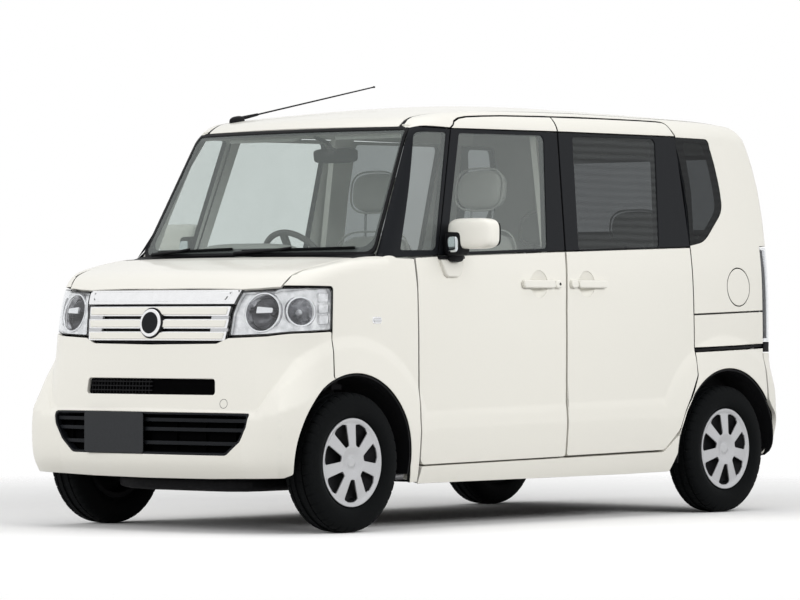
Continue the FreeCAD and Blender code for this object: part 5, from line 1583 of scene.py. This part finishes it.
camera = bpy.data.objects.new("camera", bpy.data.cameras.new("camera"))
bpy.context.collection.objects.link(camera)
camera.location = (12.009, -14.2066, 0.8367)
camera.rotation_mode = "XYZ"
camera.rotation_euler = (math.radians(90.311), 0, math.radians(40.428))
camera.data.lens, camera.data.sensor_width = 193.84, 36
bpy.context.scene.camera = camera


def lamp_area(name, at, aim, size, power):
    """A soft rectangular studio light."""
    light = bpy.data.lights.new(name, "AREA")
    light.shape, light.size, light.size_y, light.energy = "RECTANGLE", size[0], size[1], power
    thing = bpy.data.objects.new(name, light)
    bpy.context.collection.objects.link(thing)
    thing.location = at
    thing.rotation_euler = (Vector(aim) - Vector(at)).to_track_quat("-Z", "Y").to_euler()
    return thing


lamp_area("overhead", (0.0, 0.0, 6.5), (0, 0, 0), (7, 8), 98)
lamp_area("key", (5.5, -0.1, 3.0), (0, 0.0, 0.8), (5, 2.2), 200).visible_glossy = False
lamp_area("front_fill", (-1.5, -8.0, 3.2), (0, 0, 0.7), (6, 4), 330).visible_glossy = False


def looked_at(nodes, links, path):
    """One where a ray comes from the camera, or from it by way of metal or glass."""
    first, both = nodes.new("ShaderNodeMath"), nodes.new("ShaderNodeMath")
    first.operation = both.operation = "MAXIMUM"
    links.new(path.outputs["Is Camera Ray"], first.inputs[0])
    links.new(path.outputs["Is Transmission Ray"], first.inputs[1])
    links.new(first.outputs["Value"], both.inputs[0])
    links.new(path.outputs["Is Glossy Ray"], both.inputs[1])
    return both


world = bpy.data.worlds.new("studio")
bpy.context.scene.world = world
world.use_nodes = True
nodes, links = world.node_tree.nodes, world.node_tree.links
nodes.clear()
path, dome, white = nodes.new("ShaderNodeLightPath"), nodes.new("ShaderNodeBackground"), nodes.new(
    "ShaderNodeBackground")
where, split, sky = nodes.new("ShaderNodeTexCoord"), nodes.new("ShaderNodeSeparateXYZ"), nodes.new(
    "ShaderNodeValToRGB")
links.new(where.outputs["Generated"], split.inputs["Vector"])
links.new(split.outputs["Z"], sky.inputs["Fac"])
for place, value in ((0.0, 0.42), (0.10, 0.50), (0.45, 0.95), (1.0, 1.0)):
    stop = sky.color_ramp.elements[0] if place == 0 else sky.color_ramp.elements.new(place)
    stop.color = (value, value, value, 1)
sky.color_ramp.elements.remove(sky.color_ramp.elements[-1])
links.new(sky.outputs["Color"], dome.inputs["Color"])
dome.inputs["Strength"].default_value = 0.54
white.inputs["Color"].default_value, white.inputs["Strength"].default_value = (1, 1, 1, 1), 1.0
mix, out = nodes.new("ShaderNodeMixShader"), nodes.new("ShaderNodeOutputWorld")
seen = looked_at(nodes, links, path)
links.new(seen.outputs["Value"], mix.inputs["Fac"])
links.new(dome.outputs["Background"], mix.inputs[1])
links.new(white.outputs["Background"], mix.inputs[2])
links.new(mix.outputs["Shader"], out.inputs["Surface"])

floor_mesh = bpy.data.meshes.new("floor")
floor_mesh.from_pydata([(-30, -30, 0), (30, -30, 0), (30, 30, 0), (-30, 30, 0)], [], [(0, 1, 2, 3)])
floor = bpy.data.objects.new("floor", floor_mesh)
bpy.context.collection.objects.link(floor)
ground, nodes, links = shader_nodes("floor")
where, distance, fade = nodes.new("ShaderNodeTexCoord"), nodes.new("ShaderNodeVectorMath"), nodes.new(
    "ShaderNodeMapRange")
distance.operation = "LENGTH"
links.new(where.outputs["Object"], distance.inputs[0])
links.new(distance.outputs["Value"], fade.inputs["Value"])
fade.inputs["From Min"].default_value, fade.inputs["From Max"].default_value = 2.2, 5.5
speck, tone = nodes.new("ShaderNodeTexNoise"), nodes.new("ShaderNodeValToRGB")
speck.inputs["Scale"].default_value = 2.0
tone.color_ramp.elements[0].color, tone.color_ramp.elements[1].color = (0.93, 0.93, 0.93, 1), (0.95, 0.95,
    0.95, 1)
links.new(where.outputs["Object"], speck.inputs["Vector"])
links.new(speck.outputs["Fac"], tone.inputs["Fac"])
matt, dull = nodes.new("ShaderNodeBsdfDiffuse"), nodes.new("ShaderNodeBsdfDiffuse")
clear, mix, look, path = (nodes.new(kind) for kind in (
    "ShaderNodeBsdfTransparent", "ShaderNodeMixShader", "ShaderNodeMixShader", "ShaderNodeLightPath"))
links.new(tone.outputs["Color"], matt.inputs["Color"])
dull.inputs["Color"].default_value = (0.45, 0.445, 0.43, 1)
links.new(looked_at(nodes, links, path).outputs["Value"], look.inputs["Fac"])
links.new(dull.outputs["BSDF"], look.inputs[1])
links.new(matt.outputs["BSDF"], look.inputs[2])
links.new(fade.outputs["Result"], mix.inputs["Fac"])
links.new(look.outputs["Shader"], mix.inputs[1])
links.new(clear.outputs["BSDF"], mix.inputs[2])
out = nodes.new("ShaderNodeOutputMaterial")
links.new(mix.outputs["Shader"], out.inputs["Surface"])
floor_mesh.materials.append(ground)

bpy.context.scene.view_settings.view_transform = "Standard"
bpy.context.scene.view_settings.look = "None"
